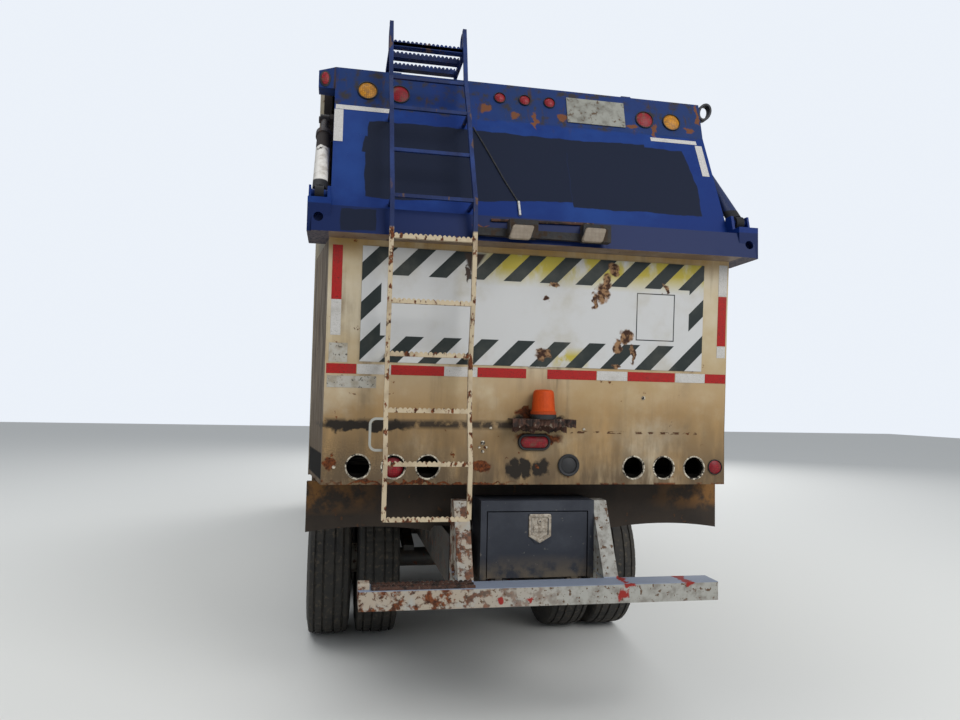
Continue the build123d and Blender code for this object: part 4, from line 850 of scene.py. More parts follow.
PADDLE_HALF = 0.0347
PADDLE = [
    (-0.0092, 0.0130), (0.0010, 0.0128), (0.0034, 0.0040), (0.0034, -0.0020), (0.0010, -0.0190),
    (-0.0092, -0.0210)]
paddle = carried(PADDLE, [(LATCH_X + x, 0.0, LATCH_Z) for x in (-PADDLE_HALF, PADDLE_HALF)])
LOCK = [
    (-0.0095, 0.0), (-0.0095, 0.0138), (0.0012, 0.0138), (0.0024, 0.0122), (0.0024, 0.0040), (0.0, 0.0036),
    (0.0, 0.0)]
lock = turned_part(LOCK, (LATCH_X, 0.0, LATCH_Z + 0.036), REAR_WARD, 24)
pin = stud((LATCH_X, 0.0092, LATCH_Z - 0.034), REAR_WARD, 0.007, 0.003)
piece("toolbox_latch", [latch_plate(), paddle, lock, pin], zinc, "toolbox_door", bevel=0.0006)

# Bumper bar. A square tube on raked struts, painted white and touched up, with rust on its
# left step, red overspray and a pale end plate.
coat = Finish("Touched-up white enamel on the bumper bar")
left = coat.fade(0, 0.15, -0.45)
scab = coat.patches(60, 0.48, 0.56, detail=8.0)
thin = coat.patches(25, 0.58, 0.62, detail=8.0)
red_spots = coat.spots([
    (-0.230, 0.785, 0.012, 0.020), (-0.097, 0.785, 0.010, 0.022), (0.395, 0.80, 0.024, 0.030),
    (0.43, 0.845, 0.03, 0.012), (0.752, 0.85, 0.03, 0.02)])
sky_lit = coat.both(coat.fade(2, 0.846, 0.849), coat.fade(2, 0.856, 0.852))
bar_white = coat.close(
    [(None, "989790", 0.5), ((60, 0.42, 0.7), "77726a", 0.6),
     (coat.both(left, (110, 0.35, 0.55)), "9c9080", 0.6),
     (coat.both(coat.mix("MAXIMUM", left, thin), scab), coat.rust(), 0.9), (thin, "5b4636", 0.85),
     (sky_lit, "7c8595", 0.5), (red_spots, "86241e", 0.6)],
    bump=scab, depth_mm=0.5, Specular_IOR_Level=0.25)
wear(bar_white, "underride_guard")
BAR_TOP, BAR_REAR = 0.850, -0.300
STEP_X, STEP_Y = (-0.860, -0.360), (0.010, 0.060, 0.110)
step = [toothed(*STEP_X, BAR_REAR + y, BAR_TOP + 0.006, 0.010, 0.0) for y in STEP_Y]
step.append(carried(rounded(0.100, 0.006, 0.002), [(x, BAR_REAR + 0.062, BAR_TOP + 0.003) for x in STEP_X]))
piece("bar_step", step, flaking, "chassis")
end_plate = carried(rounded(0.070, 0.078, 0.006), [(x, BAR_REAR + 0.05, 0.845) for x in (-0.925, -0.870)])
piece("bar_end_plate", [end_plate], bar_white, "chassis", bevel=0.002)

# Refuse body. Ribbed steel sides, roof, floor and hopper in the same white enamel, dirtier
# towards the road; the load space inside is scoured to bare brown steel.
body_enamel = weathered_enamel(
    "White alkyd enamel on the body", "bdb5a4", "a3977f", 0.52, 0.66, low=(2.2, 0.9),
    posts=(SILL + 0.62, 2.95))
wear(body_enamel, "body_sides", "body_roof", "body_floor", "hopper", "lift_barrels", "fork_barrels")
coat = Finish("Load-scoured steel")
scoured = coat.close(
    [(None, "6e655a", 0.45), ((300, 0.4, 0.7), "54483c", 0.6),
     (coat.patches(60, 0.52, 0.58, stretch=(1, 0.2, 1)), coat.rust(), 0.85)],
    bump=coat.patches(25, 0.3, 0.7, stretch=(1, 0.15, 1)), depth_mm=0.6, Metallic=0.5)
wear(scoured, "packer_blade", "forks")
blue_enamel = weathered_enamel("Blue alkyd enamel on the arms", "16346f", "2c4d84", 0.56, 0.64)
wear(blue_enamel, "lift_arms", "hopper_door")
coat = Finish("Hard chrome on the rods")
polished = coat.close(
    [(None, "b9bbbd", 0.12), (coat.patches(40, 0.5, 0.8, stretch=(1, 1, 0.3)), "8b8780", 0.3)],
    Metallic=1.0)
wear(polished, "lift_rods", "fork_rods")
coat = Finish("Flaked paint on the tailgate cylinders")
# Painted shadow of the hood: the barrels are near black above a ragged line at about 3.19 m, with flaked
# paint along that edge.
noise = put(coat.tree, "TexNoise", {"Vector": coat.where, "Scale": 30.0, "Detail": 4.0})["Color"]
lifted = coat.vector("ADD", coat.where, coat.vector("MULTIPLY", noise, (0, 0, 0.12)))
flaked_paint_and_hood_shadow = coat.fade(2, 3.19, 3.20, lifted)
navy_side = coat.fade(0, 0.0, 0.1)
boot = coat.fade(2, 2.892, 2.884)
barrel_paint = coat.close(
    [(None, "cbc7c0", 0.5), ((60, 0.45, 0.7), "a39c93", 0.6), (flaked_paint_and_hood_shadow, "2c2624", 0.85),
     (navy_side, "18264a", 0.5), (boot, "1b1b1d", 0.7)],
    bump=flaked_paint_and_hood_shadow, depth_mm=1.5, Specular_IOR_Level=0.25)
wear(barrel_paint, "tailgate_barrels")
grimed = Finish("Grimed rod steel").close(
    [(None, "2b2729", 0.6), ((30, 0.5, 0.65), "43352e", 0.8)], Specular_IOR_Level=0.3)
wear(grimed, "tailgate_rods")

# Chassis. Rails, axles, springs and pedestals in black frame paint under years of road dust;
# the castings are bare and oily.
coat = Finish("Dusty black frame paint")
frame_black = coat.close(
    [(None, "232220", 0.5), ((220, 0.35, 0.7), "4a4136", 0.85), ((50, 0.6, 0.65, 8.0), coat.rust(), 0.9)],
    bump=(20, 0.4, 0.7), depth_mm=0.4)
wear(
    frame_black, "chassis_rails", "cross_members", "arm_pedestals", "tow_eyes", "front_axle", "rear_axles",
    "front_bumper")
cast = Finish("Oily cast iron and spring steel").close(
    [(None, "34322f", 0.55), ((90, 0.4, 0.7), "1f1c19", 0.35), ((60, 0.55, 0.62), "5b4633", 0.9)],
    bump=(3, 0.3, 0.7), depth_mm=0.3, Metallic=0.4)
wear(cast, "engine", "knuckle_right", "knuckle_left", "rear_springs")
coat = Finish("Dull rolled aluminium")
brushed = coat.patches(6, 0.4, 0.6, stretch=(1, 0.02, 1))
tread_plate = coat.close(
    [(None, "9b9d9e", 0.35), (brushed, "86888a", 0.42), ((150, 0.45, 0.75), "6a6154", 0.7)], Metallic=0.85)
wear(tread_plate, "side_tanks")
STRAP_Y = (5.700, 6.150)


def strap_round(side, y, x0, x1, z0, z1, corner):
    """A band that goes round a tank's outline, 3 mm off its skin."""
    ring = rounded(x1 - x0 + 0.006, z1 - z0 + 0.006, corner, 6)
    middle = ((x0 + x1) / 2, (z0 + z1) / 2)
    rows = ((-0.02, 1.0), (-0.02, 1.012), (0.02, 1.012), (0.02, 1.0), (-0.02, 1.0))
    return stacked([(y + dy, (ring * grow + middle) * (side, 1)) for dy, grow in rows])


straps = [strap_round(side, y, 0.470, 1.050, 0.430, 0.930, 0.090) for side in (1, -1) for y in STRAP_Y]
piece("tank_straps", straps, frame_black, "chassis")
cap = [(0.0, 0.0), (0.0, 0.055), (0.012, 0.058), (0.035, 0.058), (0.040, 0.050), (0.040, 0.0)]
caps = [turned_part(cap, (side * 0.900, 5.92, 0.925), (side * 0.25, 0, 1), 32) for side in (1, -1)]
piece("tank_caps", caps, tread_plate, "chassis")

# Tyres. Radial truck tyres with block treads: ribs round the tyre, cut across by sipes, and
# thin moulded rings on the sidewalls. The rubber is grey with dust.
TYRE_R, CROWN_FALL, GROOVE_DEEP = 0.538, 0.010, 0.012
tyre_rubber = Finish("Dusty tyre rubber").close(
    [(None, "262523", 0.75), ((160, 0.35, 0.75), "3d3933", 0.9), ((30, 0.55, 0.65), "4f483e", 0.95)],
    bump=(2, 0.3, 0.7), depth_mm=0.1)


def tyre_surface(x, y, lugs=46, per_lug=6):
    """Half profile points mirrored; radius falls 12 mm in four ring grooves and 4 mm in slots across."""
    side = np.array([
        (0.113, 0.284), (0.120, 0.292), (0.130, 0.318), (0.146, 0.350), (0.1545, 0.395), (0.1545, 0.412),
        (0.151, 0.440), (0.1525, 0.443), (0.150, 0.447), (0.143, 0.490), (0.137, 0.518)])
    tread_x = np.array([0.130, 0.126, 0.104, 0.102, 0.090, 0.088, 0.046, 0.044, 0.032, 0.030, 0.0])
    tread_x = np.concatenate([tread_x, -tread_x[-2::-1]])
    off = np.abs(tread_x)
    groove = ((off < 0.1025) & (off > 0.0895)) | ((off < 0.0445) & (off > 0.0315))
    crown = TYRE_R - CROWN_FALL * (off / 0.13) ** 4
    xs = np.concatenate([side[:, 0], tread_x, -side[::-1, 0]])
    rs = np.concatenate([side[:, 1], crown - GROOVE_DEEP * groove, side[::-1, 1]])
    steps = lugs * per_lug
    turns = np.arange(steps) * tau / steps
    slot = (np.arange(steps) % per_lug) < 1
    slot_depth = np.zeros(len(xs))
    slot_depth[len(side) - 1:len(side) + len(tread_x) + 1] = 0.004
    radius = rs[None, :] - slot[:, None] * slot_depth[None, :]
    ahead, up = radius * np.cos(turns)[:, None], radius * np.sin(turns)[:, None]
    grid = np.stack([np.broadcast_to(x + xs, radius.shape), y + ahead, TYRE_R + up], axis=-1)
    return surface(grid, round_u=True, round_v=True)


# Wheels. Pressed steel discs with oval hand holes, white enamel over years of brake dust, and
# hexagon nuts on a bolt circle round the hub; one piece turns with each tyre or pair.
coat = Finish("Dusty white enamel on the wheels")
wheel_enamel = coat.close(
    [(None, "b3b0a6", 0.45), ((120, 0.35, 0.7), "7c7060", 0.8), ((40, 0.56, 0.62, 8.0), coat.rust(), 0.9)],
    bump=(15, 0.4, 0.7), depth_mm=0.3)
HOLES, SECTOR, HOLE_ROWS = 10, 14, 13


def wheel_disc(x, y, dish):
    """A dished disc in polar rows and columns; round each hand hole the square grid is bent to rings."""
    inner = np.linspace(0.062, 0.150, 4)
    middle = np.linspace(0.150, 0.232, HOLE_ROWS)
    outer = np.linspace(0.232, 0.264, 3)
    radius = np.concatenate([inner[:-1], middle, outer[1:]])
    first = len(inner) - 1
    i = np.tile(np.arange(SECTOR) / SECTOR * 2 - 1, HOLES)
    base = np.repeat(np.arange(HOLES) * tau / HOLES, SECTOR)
    j = np.zeros(len(radius))
    j[first:first + HOLE_ROWS] = np.linspace(-1, 1, HOLE_ROWS)
    inside = np.zeros(len(radius), dtype=bool)
    inside[first:first + HOLE_ROWS] = True
    a, b = np.broadcast_arrays(i[None, :], j[:, None])
    m = np.maximum(np.abs(a), np.abs(b))
    length = np.maximum(np.hypot(a, b), 1e-9)
    pull = np.clip((1 - m) / 0.35, 0, 1) * inside[:, None]
    a2 = a * (1 - pull) + pull * m * a / length
    b2 = b * (1 - pull) + pull * m * b / length
    r = np.where(inside[:, None], 0.191 + 0.041 * b2, radius[:, None])
    turn = base[None, :] + a2 * pi / HOLES
    depth = np.interp(
        r, [0.06, 0.150, 0.205, 0.240, 0.264], [dish * 0.2, dish * 0.2, dish * 0.45, dish, dish])
    grid = np.stack([x + depth, y + r * np.cos(turn), TYRE_R + r * np.sin(turn)], axis=-1)
    points, faces = surface(grid, round_v=True)
    columns = grid.shape[1]
    row = np.array([f[0] // columns for f in faces])
    column = np.array([f[0] % columns for f in faces])
    beyond = np.minimum(row + 1, len(radius) - 1)
    mid_b = np.where(inside[row] & inside[beyond], (j[row] + j[beyond]) / 2, 9)
    mid_a = i[column] + 1 / SECTOR
    open_hole = np.maximum(np.abs(mid_a), np.abs(mid_b)) < 0.58
    return points, [f for f, hole in zip(faces, open_hole) if not hole]


def rim_band(x, y):
    """The rim: flanges at both edges, bead seats and a dropped centre, turned round the axle."""
    profile = [
        (-0.119, 0.283), (-0.119, 0.296), (-0.113, 0.298), (-0.108, 0.286), (-0.090, 0.284),
        (-0.070, 0.268), (0.05, 0.268), (0.088, 0.284), (0.108, 0.286), (0.113, 0.298), (0.119, 0.296),
        (0.119, 0.283), (0.100, 0.277), (0.050, 0.262), (-0.07, 0.262), (-0.100, 0.277), (-0.119, 0.283)]
    return turned_part(profile, (x, y, TYRE_R), (1, 0, 0), 72)


def nut_ring(x, y, out, count, circle_r):
    """Hexagon nuts with washers, evenly round the axle."""
    turns = np.arange(count) * tau / count
    profile = [
        (-0.006, 0.0), (-0.006, 0.022), (0.0, 0.022), (0.0, 0.0165), (0.020, 0.0165), (0.024, 0.013),
        (0.024, 0.009), (0.036, 0.009), (0.036, 0.0)]
    places = [(x, y + circle_r * cos(t), TYRE_R + circle_r * sin(t)) for t in turns]
    return [turned_part(profile, place, (out, 0, 0), 6) for place in places]


def hub_cap(x, y, out, reach, radius):
    """A stepped hub: flange, barrel and a flat cover with a raised centre."""
    profile = [
        (-0.02, 0.0), (-0.02, radius), (0.012, radius), (0.018, radius * 0.78),
        (reach - 0.01, radius * 0.70), (reach, radius * 0.62), (reach, radius * 0.25),
        (reach + 0.008, radius * 0.22), (reach + 0.008, 0.0)]
    return turned_part(profile, (x, y, TYRE_R), (out, 0, 0), 48)


TWIN_X, INNER_X, FRONT_X = 1.065, 0.720, 1.030
FRONT_Y, REAR_Y, MIDDLE_Y = 7.450, 1.950, 3.320
SIDES = (("right", 1), ("left", -1))
HUB_TUBE = [(-0.02, 0.048), (-0.02, 0.108), (0.34, 0.108), (0.34, 0.048), (-0.02, 0.048)]
for side, s in SIDES:
    body, x = f"front_wheel_{side}", s * FRONT_X
    shape = piece(f"front_tread_{side}", [tyre_surface(x, FRONT_Y)], tyre_rubber, body)
    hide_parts(f"front_tyre_{side}")
    disc = wheel_disc(x, FRONT_Y, s * 0.090)
    wheel = piece(f"front_disc_{side}", [disc], wheel_enamel, body, wall=0.012)
    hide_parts(f"front_rim_{side}")
    hub = [rim_band(x, FRONT_Y), hub_cap(s * (FRONT_X + 0.018), FRONT_Y, s, 0.115, 0.098)]
    hub += nut_ring(s * (FRONT_X + 0.026), FRONT_Y, s, 10, 0.118)
    piece(f"front_hub_{side}", hub, wheel_enamel, body)
    for axle, y in (("middle", MIDDLE_Y), ("rear", REAR_Y)):
        body, outer, inner = f"{axle}_wheels_{side}", s * TWIN_X, s * INNER_X
        pair = [tyre_surface(outer, y), tyre_surface(inner, y)]
        shape = piece(f"{axle}_treads_{side}", pair, tyre_rubber, body)
        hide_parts(f"{axle}_tyres_{side}")
        pair = [wheel_disc(outer, y, -s * 0.100), wheel_disc(inner, y, s * 0.100)]
        wheel = piece(f"{axle}_discs_{side}", pair, wheel_enamel, body, wall=0.012)
        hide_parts(f"{axle}_rims_{side}")
        hub = [rim_band(outer, y), rim_band(inner, y), hub_cap(s * (TWIN_X - 0.020), y, s, 0.085, 0.100)]
        hub.append(turned_part(HUB_TUBE, (s * (INNER_X - 0.06), y, TYRE_R), (s, 0, 0), 48))
        hub += nut_ring(s * (TWIN_X - 0.014), y, s, 10, 0.125)
        piece(f"{axle}_hubs_{side}", hub, wheel_enamel, body)

# Cab. A folded steel shell in white enamel with a black louvred grille, rubber-sealed glass,
# lamps in the bumper, wipers and grab handles; doors hang on their front edges.
cab_enamel = weathered_enamel("White enamel on the cab", "c3c0b8", "aba594", 0.58, 0.70, low=(1.1, 0.6))
wear(cab_enamel, "cab_shell", "cab_door_right", "cab_door_left")
glazing = Finish("Tinted safety glass").close([(None, "aebbb8", 0.06)], Transmission_Weight=0.85, IOR=1.5)
wear(glazing, "cab_glass", "door_glass_right", "door_glass_left")
coat = Finish("Grained black polypropylene")
grain = coat.cells(4.0)
moulded = coat.close([(None, "1f2022", 0.6), ((120, 0.4, 0.75), "35332f", 0.75)], bump=grain, depth_mm=0.15)
wear(moulded, "dashboard", "mirrors")
handle_grey = Finish("Dull galvanised grab handle").close(
    [(None, "8e8d88", 0.45), ((25, 0.4, 0.7), "6d6a63", 0.6)], Metallic=0.7)
CAB_FRONT, CAB_REAR, CAB_HALF = 8.943, 6.943, 1.100
SCREEN_LOW, SCREEN_LEAN, CAB_ROOF = 1.560, 0.230, 2.850
GRILLE_HALF, GRILLE_LOW, GRILLE_PITCH = 0.520, 0.965, 0.05875
SLAT_Y = CAB_FRONT - 0.0145
slat_heights = GRILLE_LOW + GRILLE_PITCH * (np.arange(8) + 0.5)
slats = [
    carried(rounded(0.0265, 0.021, 0.005), [(x, SLAT_Y, z) for x in (-GRILLE_HALF, GRILLE_HALF)])
    for z in slat_heights]
frame_path = rounded(1.10, 0.52, 0.06, 8)
frame_rows = (
    (-0.004, 1.0, 1.0), (0.016, 1.0, 1.0), (0.020, 0.985, 0.97), (0.016, 0.955, 0.920),
    (-0.0245, 0.943, 0.902), (-0.0245, 0.940, 0.895), (-0.004, 1.0, 1.0))
grille_frame = stacked([(CAB_FRONT + dy, frame_path * (g, h) + (0, 1.20)) for dy, g, h in frame_rows])
low, high = GRILLE_LOW + 0.0005, 2.4 - GRILLE_LOW - 0.0005
back = np.array([(-0.5195, low), (0.5195, low), (0.5195, high), (-0.5195, high)])
grille_back = stacked([(CAB_FRONT - depth, back) for depth in (0.0246, 0.0236)], ends=True)
piece("grille", slats + [grille_frame, grille_back], moulded, "chassis")


def rounded_lens(x, y, z, width, height, bulge, skirt_deep=0.012):
    """A lens whose depth is bulge times (1 - u^4)(1 - v^4) over its width and height."""
    t = np.linspace(-1, 1, 15)
    u, v = np.meshgrid(t, t)
    depth = bulge * (1 - u ** 4) * (1 - v ** 4)
    front = np.stack([x + u * width / 2, y + depth, z + v * height / 2], axis=-1)
    rim = np.concatenate([front[0], front[1:, -1], front[-1, -2::-1], front[-2:0:-1, 0]])
    centre = np.broadcast_to((x, y - skirt_deep, z), rim.shape)
    skirt = np.stack([rim, rim - (0, skirt_deep, 0), centre])
    grid_points, grid_faces = surface(front)
    skirt_points, skirt_faces = surface(skirt, round_v=True)
    skirt_faces = [[i + len(grid_points) for i in face] for face in skirt_faces]
    return np.concatenate([grid_points, skirt_points]), grid_faces + skirt_faces


clear_lens = lens_plastic("Clear ribbed headlamp lens", "b9bcb8", "8d918f", 16.0)
lenses = [rounded_lens(s * 0.82, CAB_FRONT + 0.076, 0.680, 0.28, 0.145, 0.016) for s in (1, -1)]
piece("headlamps", lenses, clear_lens, "chassis")
lenses = [rounded_lens(s * 1.020, CAB_FRONT + 0.002, 1.00, 0.09, 0.14, 0.022) for s in (1, -1)]
piece("turn_lamps", lenses, amber_lens, "chassis")


def pod(x, y, z):
    """A small roof lamp: a long-round dome that tapers towards the front."""
    turns = np.arange(24) * tau / 24
    rows = [
        np.column_stack([x + 0.060 * g * np.cos(turns), y + 0.028 * g * np.sin(turns), np.full(24, z + h)])
        for h, g in ((-0.004, 1.0), (0.010, 1.0), (0.024, 0.9), (0.034, 0.65), (0.038, 0.3), (0.039, 0.02))]
    return surface(np.array(rows), round_v=True, ends=True)


pods = [pod(x, CAB_FRONT - SCREEN_LEAN - 0.06, CAB_ROOF) for x in (-0.80, -0.22, 0.0, 0.22, 0.80)]
piece("cab_roof_lamps", pods, amber_lens, "chassis")


def on_screen(x, up, proud):
    """A point on the raked windscreen: up along the glass from its lower edge, proud of it."""
    lean = np.array([0.0, -SCREEN_LEAN, CAB_ROOF - SCREEN_LOW])
    lean /= np.linalg.norm(lean)
    out = np.array([0.0, lean[2], -lean[1]])
    return np.array([x, CAB_FRONT, SCREEN_LOW]) + lean * up + out * proud


wiper_arms = []
for x, reach in ((-0.52, -0.30), (0.38, -0.30)):
    arm = [on_screen(x, 0.02, 0.03), on_screen(x, 0.10, 0.028), on_screen(x + reach, 0.52, 0.012)]
    blade = [(x + reach - 0.18, 0.25), (x + reach * 0.9, 0.53), (x + reach + 0.14, 0.76)]
    wiper_arms.append(carried(rounded(0.016, 0.010, 0.004), arm))
    wiper_arms.append(carried(rounded(0.012, 0.014, 0.004), [on_screen(*at, 0.008) for at in blade]))
piece("wipers", wiper_arms, moulded, "chassis")


def flat_frame(outline, x, inward, thick, width):
    """A rubber seal round a side window: a strip that follows the outline's (y, z) corners at x."""
    points = np.array(outline)
    centre = points.mean(axis=0)
    inner = centre + (points - centre) * (1 - width / np.abs(points - centre).max())
    rows = ((x, points), (x + thick, points), (x + thick, inner), (x - inward, inner), (x, points))
    return surface([np.column_stack([np.full(len(line), at), line]) for at, line in rows], round_v=True)


DOOR_REAR, DOOR_FRONT = FRONT_Y + 0.640, CAB_FRONT - 0.090
door_lean = SCREEN_LEAN / (CAB_ROOF - SCREEN_LOW)
WINDOW_LOW, WINDOW_TOP, QUARTER_LOW, QUARTER_TOP, SEAL_WIDE = 1.650, 2.477, 1.750, 2.500, 0.022
WINDOW_REAR, WINDOW_FRONT = DOOR_REAR + 0.083, DOOR_FRONT - 0.095
WINDOW_TIP = DOOR_FRONT - door_lean * (WINDOW_TOP - SCREEN_LOW) - 0.11
WINDOW = [
    (WINDOW_REAR, WINDOW_LOW), (WINDOW_REAR, WINDOW_TOP), (WINDOW_TIP, WINDOW_TOP),
    (WINDOW_FRONT, WINDOW_LOW)]
QUARTER_REAR, QUARTER_FRONT = CAB_REAR + 0.200, DOOR_REAR - 0.120
QUARTER = [
    (QUARTER_REAR, QUARTER_LOW), (QUARTER_REAR, QUARTER_TOP), (QUARTER_FRONT, QUARTER_TOP),
    (QUARTER_FRONT, QUARTER_LOW)]
HANDLE, HANDLE_Z = ((-0.002, 0.06), (0.022, 0.075), (0.026, 0.15), (0.022, 0.225), (-0.002, 0.24)), 1.46
RAIL, RAIL_Y = ((-0.002, 1.20), (0.055, 1.24), (0.055, 2.06), (-0.002, 2.10)), DOOR_REAR - 0.045
MIRROR, MIRROR_Z = rounded(0.172, 0.470, 0.03, 6), 2.050
MIRROR_ROWS = ((-0.002, 1.0), (0.002, 1.0), (0.003, 0.98), (0.003, 0.02))
for side, s in SIDES:
    door = f"cab_door_{side}"
    seal = flat_frame(WINDOW, s * CAB_HALF, s * 0.02, s * 0.004, SEAL_WIDE)
    piece(f"door_seal_{side}", [seal], rubber, door)
    grip = [(s * (CAB_HALF + out), DOOR_REAR + along, HANDLE_Z) for out, along in HANDLE]
    grip = carried(rounded(0.022, 0.014, 0.005), grip)
    piece(f"door_handle_{side}", [grip], moulded, door)
    rail = carried(circle(0.014, 16), [(s * (CAB_HALF + out), RAIL_Y, z) for out, z in RAIL])
    piece(f"grab_rail_{side}", [rail], handle_grey, "chassis")
    seal = flat_frame(QUARTER, s * CAB_HALF, s * 0.02, s * 0.004, SEAL_WIDE)
    piece(f"quarter_seal_{side}", [seal], rubber, "chassis")
    at = (s * (CAB_HALF + 0.250), MIRROR_Z)
    glass = stacked([(CAB_FRONT - 0.090 - dy, MIRROR * g + at) for dy, g in MIRROR_ROWS], ends=True)
    piece(f"mirror_glass_{side}", [glass], polished, "chassis")

# Seats. Air-sprung cab seats in woven grey cloth over moulded foam: crowned cushions with sewn
# channels, sides that pull in between the corners, and a piped back.
coat = Finish("Woven grey seat cloth")
weave = put(
    coat.tree, "TexWave", {"Vector": coat.where, "Scale": 1000 / 9.0, "Distortion": 0.0},
    bands_direction="DIAGONAL")["Fac"]
cloth = coat.close(
    [(None, "3a3d42", 0.9), (weave, "2b2d31", 0.95), ((140, 0.45, 0.75), "4b473f", 0.95)], bump=weave,
    depth_mm=0.6, Sheen_Weight=0.3)


def cushion(centre, size, upright=False, channels=(-0.28, 0.28), crown=0.35):
    """A closed superellipsoid pad: sewn channels dip its top by 9 mm, and its sides pull in midway."""
    u = np.linspace(-pi / 2, pi / 2, 29)[:, None]
    v = (np.arange(64) * tau / 64)[None, :]

    def power(wave, e):
        return np.sign(wave) * np.abs(wave) ** e

    x = power(np.cos(u), crown) * power(np.cos(v), 0.3)
    y = power(np.cos(u), crown) * power(np.sin(v), 0.3)
    z = power(np.sin(u), 0.55) * np.ones_like(v)
    pull = 1 - 0.035 * (1 - x ** 2) * np.abs(y) - 0.035 * (1 - y ** 2) * np.abs(x)
    dip = sum(0.009 * np.exp(-((x - c) / 0.045) ** 2) for c in channels) * (z > 0)
    w, d, h = size
    shape = np.stack([x * pull * w / 2, y * pull * d / 2, z * h / 2 - dip], axis=-1)
    if upright:
        shape = shape[..., [0, 2, 1]]
    return surface(np.asarray(centre) + shape, round_v=True)


SEAT_BACK = CAB_FRONT - 1.443
SEAT_X = 0.580
BELLOWS = [
    (1.2015, 0.0), (1.2015, 0.170), (1.215, 0.175), (1.235, 0.150), (1.260, 0.140), (1.290, 0.155),
    (1.315, 0.140), (1.340, 0.155), (1.365, 0.145), (1.395, 0.190), (1.400, 0.190), (1.400, 0.0)]
for side, s in SIDES:
    pad = cushion((s * SEAT_X, SEAT_BACK + 0.390, 1.470), (0.490, 0.470, 0.165))
    base = piece(f"seat_cushion_{side}", [pad], cloth, "chassis")
    pad = cushion((s * SEAT_X, SEAT_BACK + 0.075, 1.850), (0.480, 0.780, 0.140), upright=True)
    rest = piece(f"seat_back_{side}", [pad], cloth, "chassis")
    stand = turned_part(BELLOWS, (s * SEAT_X, SEAT_BACK + 0.36, 0), UPWARD)
    piece(f"seat_stand_{side}", [stand], moulded, "chassis")
    if s > 0:
        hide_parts("cab_seats")

# Cylinder ends. Gland nuts on the barrels' mouths and hexagon pin heads with keepers at the
# arms' pivot, bare and greasy.
greasy = Finish("Greasy bare steel").close(
    [(None, "6b665f", 0.35), ((40, 0.45, 0.7), "2c2722", 0.5)], bump=(6, 0.35, 0.65), depth_mm=0.3,
    Metallic=0.7)


def gland(x, base, eye, length, radius):
    """A collar at the barrel's mouth: a ring with a chamfer each side, turned about the cylinder's line."""
    base, eye = np.array([x, *base]), np.array([x, *eye])
    along = (eye - base) / np.linalg.norm(eye - base)
    profile = [
        (-0.055, radius - 0.002), (-0.050, radius + 0.007), (-0.008, radius + 0.007),
        (-0.001, radius + 0.001), (-0.001, radius - 0.012), (-0.055, radius - 0.012),
        (-0.055, radius - 0.002)]
    return turned_part(profile, base + along * length, along, 40)


PIVOT, LIFT_BASE, LIFT_EYE = (6.653, 2.000), (5.053, 1.345), (6.803, 2.380)
FORK_PIVOT, FORK_BASE, FORK_EYE = (9.343, 1.300), (9.393, 2.350), (9.503, 1.095)
GATE_EYE, GATE_POST = (-0.050, 2.800), (0.515, 3.400)
glands = [gland(s * 1.045, LIFT_BASE, LIFT_EYE, 1.180, 0.062) for s in (1, -1)]
piece("lift_glands", glands, greasy, "lift_barrels")
glands = [gland(s * 1.045, FORK_BASE, FORK_EYE, 0.680, 0.042) for s in (1, -1)]
piece("fork_glands", glands, greasy, "fork_barrels")
glands = [gland(s * 1.170, GATE_EYE, GATE_POST, 0.660, 0.038) for s in (1, -1)]
piece("tailgate_glands", glands, grimed, "tailgate_barrels")
PIN_HEAD = [
    (0.0, 0.0), (0.0, 0.105), (0.010, 0.105), (0.016, 0.098), (0.016, 0.055), (0.030, 0.050), (0.030, 0.0)]
heads = [
    turned_part(PIN_HEAD, (s * 1.209, *at), (s, 0, 0), 40) for s in (1, -1) for at in (PIVOT, FORK_PIVOT)]
piece("arm_pin_heads", heads, greasy, "lift_arms")

# Floor, light and camera. A pale studio floor and sky with three broad lamps; the camera
# stands where the photograph's did, with its lens and its slight tilt.
SENSOR_MM = 36.0
LENS_MM = SENSOR_MM * 729.4 / 960
CAMERA_AT = Vector((-1.048, SILL - 3.822, 1.750))
YAW, PITCH, ROLL = radians(11.0), radians(3.32), radians(1.17)

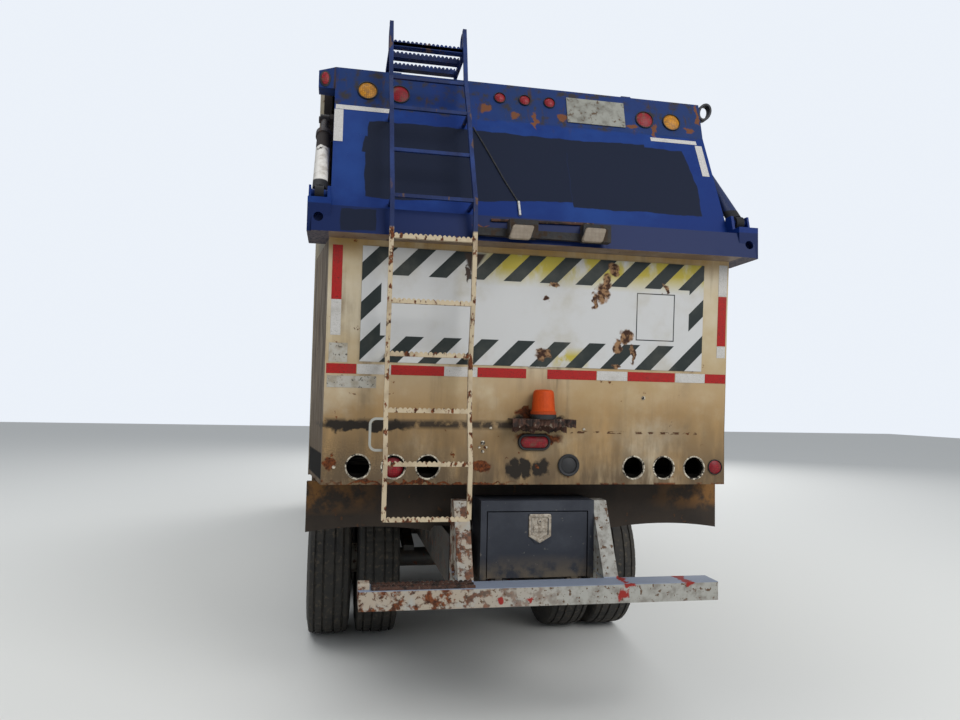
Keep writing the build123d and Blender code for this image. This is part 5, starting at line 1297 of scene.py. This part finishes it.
floor_finish = Finish("Pale painted floor").close([(None, "dcdcd8", 0.9)])
FLOOR = 40.0
mesh = bpy.data.meshes.new("floor")
mesh.from_pydata(
    [(-FLOOR, -FLOOR, 0), (FLOOR, -FLOOR, 0), (FLOOR, FLOOR, 0), (-FLOOR, FLOOR, 0)], [], [(0, 1, 2, 3)])
mesh.materials.append(floor_finish)
floor = bpy.data.objects.new("floor", mesh)
bpy.context.scene.collection.objects.link(floor)

world = bpy.data.worlds.new("studio")
bpy.context.scene.world = world
world.use_nodes = True
sky = world.node_tree
rays = put(sky, "LightPath")
clear_view = put(
    sky, "Math", {0: rays["Is Camera Ray"], 1: rays["Is Transmission Ray"]}, operation="MAXIMUM")[0]
level = put(sky, "Mix", {0: clear_view, 2: 0.55, 3: 0.95}, data_type="FLOAT")[0]
sky.nodes["Background"].inputs["Color"].default_value = (0.88, 0.93, 1.0, 1)
sky.links.new(level, sky.nodes["Background"].inputs["Strength"])


def soft_lamp(name, at, aim, size, watts):
    """A square area lamp of size metres at a point, turned towards aim."""
    lamp = bpy.data.lights.new(name, "AREA")
    lamp.size = size
    lamp.energy = watts
    holder = bpy.data.objects.new(name, lamp)
    holder.location = at
    holder.rotation_euler = (Vector(aim) - Vector(at)).to_track_quat("-Z", "Y").to_euler()
    bpy.context.scene.collection.objects.link(holder)


soft_lamp("rear_key", (4.5, -13.0, 8.0), (0, -4.5, 2.0), 6.0, 820)
soft_lamp("top_fill", (-4.0, -2.0, 12.0), (0, 0, 1.0), 9.0, 520)
soft_lamp("front_fill", (6.0, 13.0, 8.0), (0, 3.0, 1.5), 7.0, 850)

camera_data = bpy.data.cameras.new("camera")
camera_data.lens = LENS_MM
camera_data.sensor_width = SENSOR_MM
camera_data.clip_end = 200.0
camera = bpy.data.objects.new("camera", camera_data)
bpy.context.scene.collection.objects.link(camera)
level_ahead = Vector((sin(YAW), cos(YAW), 0))
level_right = Vector((cos(YAW), -sin(YAW), 0))
ahead = level_ahead * cos(PITCH) + Vector((0, 0, 1)) * sin(PITCH)
upward = level_right.cross(ahead)
right = level_right * cos(ROLL) + upward * sin(ROLL)
upward = upward * cos(ROLL) - level_right * sin(ROLL)
camera.matrix_world = Matrix.Translation(CAMERA_AT) @ Matrix((right, upward, -ahead)).transposed().to_4x4()
bpy.context.scene.camera = camera
bpy.context.scene.view_settings.view_transform = "Standard"
